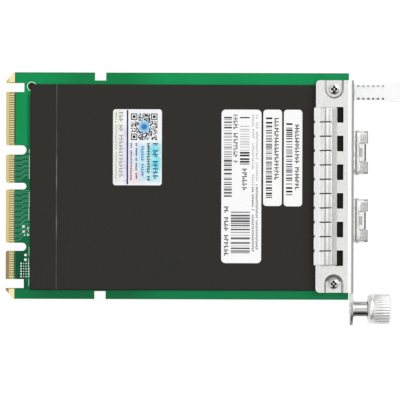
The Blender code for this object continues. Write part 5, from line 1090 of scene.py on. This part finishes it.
def spring_collar(word):
    """The collar round a cage's mouth: collar_path carried round the cage's outline."""
    low, high = np.array(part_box(f"cage_shell_{word}"))
    centre, half = (low + high) / 2, (high - low) / 2 + COLLAR_SHEET / 2 + 0.05 * MM
    points, outward, along, slit = cage_loop(half[1], half[2], 0.9 * MM)
    flat = points[None] + outward[None] * collar_path[:, 1][:, None, None]
    back = np.broadcast_to(CAGE_FRONT - collar_path[:, 0][:, None, None], (*flat.shape[:2], 1))
    grid = np.concatenate((back, flat + centre[1:]), axis=-1)
    step_back = ((collar_path[:-1, 0] + collar_path[1:, 0]) / 2)[:, None]
    step_along = (along + np.roll(along, -1)) / 2
    on_top = (outward[:, 1] > 0.99) & (np.roll(outward, -1, axis=0)[:, 1] > 0.99)
    latch_gap = on_top & (np.abs(step_along) < LATCH_HALF)
    kept = ~(((step_back > 2.7 * MM) & slit[None]) | ((step_back < 3 * MM) & latch_gap[None]))
    collar = surface(f"spring_collar_{word}", grid, collar_alloy, caps=False, keep=kept)
    # How much painted shade each point gets: 1 along the front edge and the edges beside the latch, and 0.5 along
    # the fold.
    corners = np.array([corner.co for corner in collar.data.vertices])
    behind = CAGE_FRONT - corners[:, 0]
    from_latch = np.abs(np.abs(corners[:, 1] - centre[1]) - LATCH_HALF)
    hem = (behind < 0.2 * MM) | (behind < 3 * MM) & (from_latch < 0.1 * MM) & (corners[:, 2] > high[2])
    fold = np.abs(behind - 3.9 * MM) < 0.33 * MM
    marked(collar, "folded", np.where(hem, 1.0, np.where(fold, 0.5, 0.0)))
    thickened(collar, COLLAR_SHEET)
    stands_for(collar, f"cage_collar_{word}")
    # The latch tongue ends in a lip that is rolled down, so that a module slides under it.
    lip = np.array([(-1.8, 0, 0), (-1.3, 0, 0.04), (-1.1, 0, 0.03), (-0.78, 0, -0.32), (-0.66, 0, -0.82)])
    lip_path = eased(lip * MM + (CAGE_FRONT, centre[1], high[2]), 0.12 * MM)
    lip_edge = np.array([(-2.8, -0.06), (2.8, -0.06), (2.8, 0.06), (-2.8, 0.06)]) * MM
    surface(f"latch_lip_{word}", carried(lip_path, lip_edge), tongue_end)


for word in ("left", "right"):
    kept_shape(f"cage_{word}", f"cage_shell_{word}", cage_plate, 0.08 * MM)
    kept_shape(f"cage_floor_{word}", f"cage_base_{word}", cage_plate, 0.05 * MM)
    spring_collar(word)
    kept_shape(f"module_socket_{word}", f"receptacle_{word}", black_moulding, 0.12 * MM)


# Light pipe
# Clear acrylic, injection moulded in one with polished faces. It sits on the board and leads the light of the port
# lamps to the bracket.

# Acrylic: as clear as glass, with a very faint cool tint at its edges.
acrylic = Finish(
    "clear_acrylic", "#eef2f4", "#e6ecef", 6 * MM, (0.05, 0.12), 0.4 * MM, 0.002 * MM,
    transmission_weight=0.85, ior=1.49)
kept_shape("lamp_guide", "light_pipe", acrylic, 0.15 * MM)


# Controller chip and heatsink
# The chip is a green substrate under a nickel-plated lid, which carries a soft grey pad. On it lies an extruded
# aluminium heatsink, black anodised, which two spring screws press down, each into a soldered standoff.
CHIP_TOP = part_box("controller_chip")[1][2]
# Nickel lid: plain satin grey, over the green laminate of the substrate.
lidded_chip = Finish(
    "nickel_lid_on_green_substrate", "#c6c6c4", "#b5b5b3", 3 * MM, (0.3, 0.45), 0.2 * MM, 0.004 * MM)
lidded_chip.patch("#2c4a36", Z=(CHIP_TOP - 1.12 * MM, CHIP_TOP + 1 * MM, 0.02 * MM))
# Gap pad: filled silicone, matt and soft. Anodised aluminium: a dark satin skin with the extrusion's fine grain.
gap_pad = Finish("silicone_gap_pad", "#9aa0b0", "#8b91a2", 2 * MM, (0.7, 0.85), 0.2 * MM, 0.02 * MM)
anodised = Finish(
    "black_anodised_aluminium", "#2d2d30", "#242427", 8 * MM, (0.32, 0.46), 0.1 * MM, 0.004 * MM, metallic=0.6)
kept_shape("chip", "controller_chip", lidded_chip, 0.08 * MM)
kept_shape("gap_pad", "thermal_pad", gap_pad, 0.04 * MM)
kept_shape("cooling_fins", "heatsink", anodised, 0.12 * MM)
for number in (1, 2):
    low, high = np.array(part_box(f"sink_screw_{number}"))
    length = (high[2] - low[2]) / MM
    shouldered = np.array([
        (2.1, 0.14), (2.35, 0.22), (2.55, 0.4), (2.6, 0.6), (2.6, 1.15), (2.48, 1.28), (1.1, 1.3),
        (1.1, length - 0.4), (0.75, length), (0.02, length)]) * MM
    driven_screw(f"fin_screw_{number}", f"sink_screw_{number}", shouldered, (*(low + high)[:2] / 2, low[2]), -1,
                 long=1.6 * MM, deep=0.8 * MM)
    wound_spring(f"fin_spring_{number}", f"sink_spring_{number}", 0.22 * MM, 6, 2)
    kept_shape(f"fin_standoff_{number}", f"sink_standoff_{number}", tin, 0.08 * MM)


# Power parts
# Coils in pressed ferrite with tinned end plates, regulators in flat resin packages with pads along two sides, and
# polymer capacitors in black resin with a light band at one end and a folded lead at both. All are soldered.
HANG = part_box("power_inductor_1")[1][2]
# Resin: black epoxy with the mould's fine grain. Ferrite: pressed powder, dull and pitted. The band is marked by
# laser, and matt.
resin = Finish("chip_resin", "#232326", "#1c1c1f", 2 * MM, (0.4, 0.55), 0.08 * MM, 0.006 * MM)
ferrite = Finish("pressed_ferrite", "#4a4a4b", "#3d3d3e", 1.5 * MM, (0.6, 0.75), 0.12 * MM, 0.02 * MM)
band_print = Finish("capacitor_band", "#c9c4b0", "#bab59f", 1 * MM, (0.5, 0.6), 0.2 * MM, 0.002 * MM)


def end_plates(name, node, width, height, proud, along):
    """A tinned block against each end of a part, along X (0) or Y (1): width across it, height from the board."""
    low, high = np.array(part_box(node))
    centre = np.tile((low + high) / 2, (2, 1))
    centre[:, along] += np.array([-1, 1]) * ((high - low)[along] / 2 - proud)
    centre[:, 2] = HANG - height / 2
    half = np.full(3, height / 2)
    half[along], half[1 - along] = 2 * proud, width / 2
    surface(name, rounded_blocks(centre - half, centre + half, 0.05 * MM, 0.05 * MM, 2, 2), tin)


for number in (1, 2):
    kept_shape(f"coil_{number}", f"power_inductor_{number}", ferrite, 0.15 * MM)
    end_plates(f"coil_ends_{number}", f"power_inductor_{number}", 3.2 * MM, 1.4 * MM, 0.08 * MM, 0)
    kept_shape(f"switcher_{number}", f"regulator_{number}", resin, 0.06 * MM)
    low, high = np.array(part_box(f"regulator_{number}"))
    pad_x, pad_y = np.meshgrid([low[0], high[0]], np.linspace(low[1] + 0.6 * MM, high[1] - 0.6 * MM, 9))
    pad_low = np.column_stack((
        pad_x.ravel() - 0.3 * MM, pad_y.ravel() - 0.13 * MM, np.full(pad_x.size, HANG - 0.14 * MM)))
    pad_high = pad_low + np.array([0.6, 0.26, 0.16]) * MM
    surface(f"switcher_pads_{number}", rounded_blocks(pad_low, pad_high, 0.03 * MM, 0.03 * MM, 2, 1), tin)
for number in (1, 2, 3, 4):
    node = f"polymer_capacitor_{number}"
    kept_shape(f"capacitor_{number}", node, black_moulding, 0.08 * MM)
    low, high = np.array(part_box(node))
    long_way = int(high[1] - low[1] > high[0] - low[0])
    end_plates(f"capacitor_leads_{number}", node, 2.4 * MM, 1.5 * MM, 0.06 * MM, long_way)
    band_low, band_high = low + 0.3 * MM, high - 0.3 * MM
    band_high[long_way] = band_low[long_way] + 1.3 * MM
    band_low[2], band_high[2] = low[2] - 0.015 * MM, low[2] + 0.05 * MM
    surface(f"capacitor_band_{number}", rounded_blocks(band_low, band_high, 0.05 * MM, 0.0, 2, 1), band_print)


# Crystal, memory chip and their dots
# The crystal's can is drawn nickel silver with a welded rim. The memory chip is a resin block with eight tinned
# gull-wing leads and a moulded dimple for its first one.
kept_shape("crystal_can", "crystal", cage_plate, 0.25 * MM, segments=3)
low, high = np.array(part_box("crystal"))
surface("crystal_rim", rounded_blocks(
    (*(low[:2] - 0.12 * MM), HANG - 0.3 * MM), (*(high[:2] + 0.12 * MM), HANG), 0.5 * MM, 0.06 * MM), cage_plate)
FLASH_REACH = 1.32 * MM
flash_low, flash_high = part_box("flash_chip")
# Resin between the leads, and tinned metal beyond it.
leaded_resin = Finish(
    "resin_with_tinned_leads", "#232326", "#1c1c1f", 2 * MM, (0.4, 0.55), 0.08 * MM, 0.006 * MM)
on_body = leaded_resin.zone("Y", flash_low[1] + FLASH_REACH, flash_high[1] - FLASH_REACH, 0.02 * MM)
on_leads = (add(leaded_resin.tree, "ShaderNodeMath", {0: 1.0, 1: on_body}, operation="SUBTRACT"), 0)
leaded_resin.paint("#d9d9d6", on_leads)
leaded_resin.metal(on_leads, 0.0, 1.0)
kept_shape("memory_chip", "flash_chip", leaded_resin, 0.04 * MM)
dimple = [(flash_low[0] + 0.9 * MM, flash_low[1] + 2.3 * MM)]
studs("memory_chip_dot", dimple, 0.35 * MM, flash_low[2] + 0.005 * MM, -0.02 * MM, ferrite)


# Chip capacitors and resistors
# Ceramic blocks with tinned ends, soldered by the hundred: supply capacitors round the controller, coupling
# capacitors at the contacts, broader ones at the power parts, and resistors beside the memory chip and the cages.
SMALL = (1.0, 0.5, 0.5)
SKIN = 0.03 * MM
END_SHARE = 0.24
# Ceramic: tan and fired matt. Glaze: black glass over the resistor's film.
ceramic = Finish("tan_ceramic", "#b79b74", "#a58860", 1 * MM, (0.45, 0.6), 0.1 * MM, 0.004 * MM)
resistor_glass = Finish("resistor_glaze", "#1f1f22", "#18181a", 1 * MM, (0.25, 0.4), 0.1 * MM, 0.003 * MM)


def chips(name, places, size, upright, finish):
    """Chip parts at (x, y) places in mm: a block each, and over it a slightly larger tinned block at both ends.

    size is length, width and height. upright turns a part's length along Y."""
    half = np.array(size) * MM / 2
    end = half * (END_SHARE, 1, 1)
    shift = np.array([half[0] - end[0], 0, 0])
    if upright:
        half, end, shift = (line[[1, 0, 2]] for line in (half, end, shift))
    centre = np.column_stack((places * MM, np.full(len(places), BOARD_BOTTOM - half[2])))
    inner = half - SKIN
    surface(f"{name}_bodies", rounded_blocks(centre - inner, centre + inner, 0.04 * MM, 0.0, 2, 1), finish,
            smooth=False)
    ends = np.concatenate((centre + shift, centre - shift))
    surface(f"{name}_ends", rounded_blocks(ends - end, ends + end, 0.05 * MM, 0.04 * MM, 2, 1), tin)


def rows(*lines):
    """Places in mm, spread evenly along lines. A line is the x and y of both ends and a count."""
    return np.concatenate([np.linspace(line[:2], line[2:4], line[4]) for line in lines])


chips("supply_capacitors_x", rows(
    (-41.6, -6.5, -41.6, 15.5, 15), (-13.1, -6.5, -13.1, 15.5, 15), (-49.6, -6, -49.6, 14, 11),
    (-3.2, -4, -3.2, 13, 10)), SMALL, False, ceramic)
chips("supply_capacitors_y", rows(
    (-38.5, 18.6, -16.5, 18.6, 14), (-38.5, -9.9, -16.5, -9.9, 14), (-38, 31, -14, 31, 9),
    (-38, -25, -14, -25, 9)), SMALL, True, ceramic)
chips("coupling_capacitors", at_x(-66.0, contact_y[::3] / MM), SMALL, False, ceramic)
chips("power_capacitors", rows(
    (-61.5, 18, -61.5, 33.5, 8), (-61.5, -25.5, -61.5, -10.5, 8), (-49.5, 18.5, -49.5, 27.5, 5),
    (-49.5, -19.5, -49.5, -11.5, 5)), (2.0, 1.25, 1.1), False, ceramic)
chips("memory_resistors", rows(
    (16.5, 29, 16.5, 38, 7), (28.6, 28, 28.6, 39, 8), (12.5, -29, 12.5, -20, 7), (25, -29, 25, -20, 7)),
    (1.0, 0.5, 0.35), False, resistor_glass)
chips("cage_resistors", rows(
    (3, 2.6, 30, 2.6, 13), (3, 6.3, 30, 6.3, 13), (-34, 36, -8, 36, 9)), (1.6, 0.8, 0.45), True, resistor_glass)


# Tracks, vias and ink on the component side
# Pairs of tracks run from the coupling capacitors to the controller and on to the cages, under the same mask. Vias
# are tented. White ink outlines the larger parts.
bus_y = np.linspace(-7.4, 15.6, 24)[np.arange(24) % 3 != 2] * MM
port_y = np.concatenate((np.linspace(-11, -3, 6), np.linspace(12, 20, 6))) * MM
chip_y = np.concatenate((np.linspace(-6.5, 1.5, 6), np.linspace(7, 15, 6))) * MM
contact_run = contact_y[::3]
for name, start_x, start_y, end_x, end_y, width in (
    ("controller_tracks", -65.0 * MM, bus_y - 1.9 * MM, -42.4 * MM, bus_y, 0.15 * MM),
    ("port_tracks", -12.3 * MM, chip_y, 0.2 * MM, port_y, 0.15 * MM),
    ("contact_tracks", TIP + 2.8 * MM, contact_run, -66.4 * MM, contact_run, 0.18 * MM),
):
    tracks(name, at_x(start_x, start_y), at_x(end_x, end_y), width, BOARD_BOTTOM, track_green)
scatter = np.random.default_rng(71)
via_places = np.concatenate([
    np.column_stack((scatter.uniform(*across, count), scatter.uniform(*up, count)))
    for across, up, count in (
        ((-64, -60), (-30, 38), 60), ((-50, -8), (-32, -21), 70), ((-50, -2), (32, 41), 70),
        ((2, 30), (24, 41), 90), ((2, 30), (-32, -16), 90), ((2, 32), (0.6, 8), 60), ((-8, -1), (-18, 28), 50),
    )]) * MM
studs("tented_vias", via_places, 0.22 * MM, BOARD_BOTTOM, -0.02 * MM, track_green, sides=10)

# White frames round the larger parts: four thin blocks each, a margin outside the part's box.
FRAME_MARGIN, FRAME_LINE = 0.45 * MM, 0.16 * MM
boxes = np.array([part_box(node) for node in (
    "power_inductor_1", "power_inductor_2", "regulator_1", "regulator_2", "polymer_capacitor_1",
    "polymer_capacitor_2", "polymer_capacitor_3", "polymer_capacitor_4", "crystal", "controller_chip",
    "flash_chip")])
left, near = (boxes[:, 0, :2] - FRAME_MARGIN).T
right, far = (boxes[:, 1, :2] + FRAME_MARGIN).T
sides = np.concatenate([np.stack(side, -1) for side in (
    (left, near, right, near + FRAME_LINE), (left, far - FRAME_LINE, right, far),
    (left, near, left + FRAME_LINE, far), (right - FRAME_LINE, near, right, far))])
flat_blocks("part_outlines", sides[:, :2], sides[:, 2:], BOARD_BOTTOM, 0.015 * MM, 0.01 * MM, silkscreen)
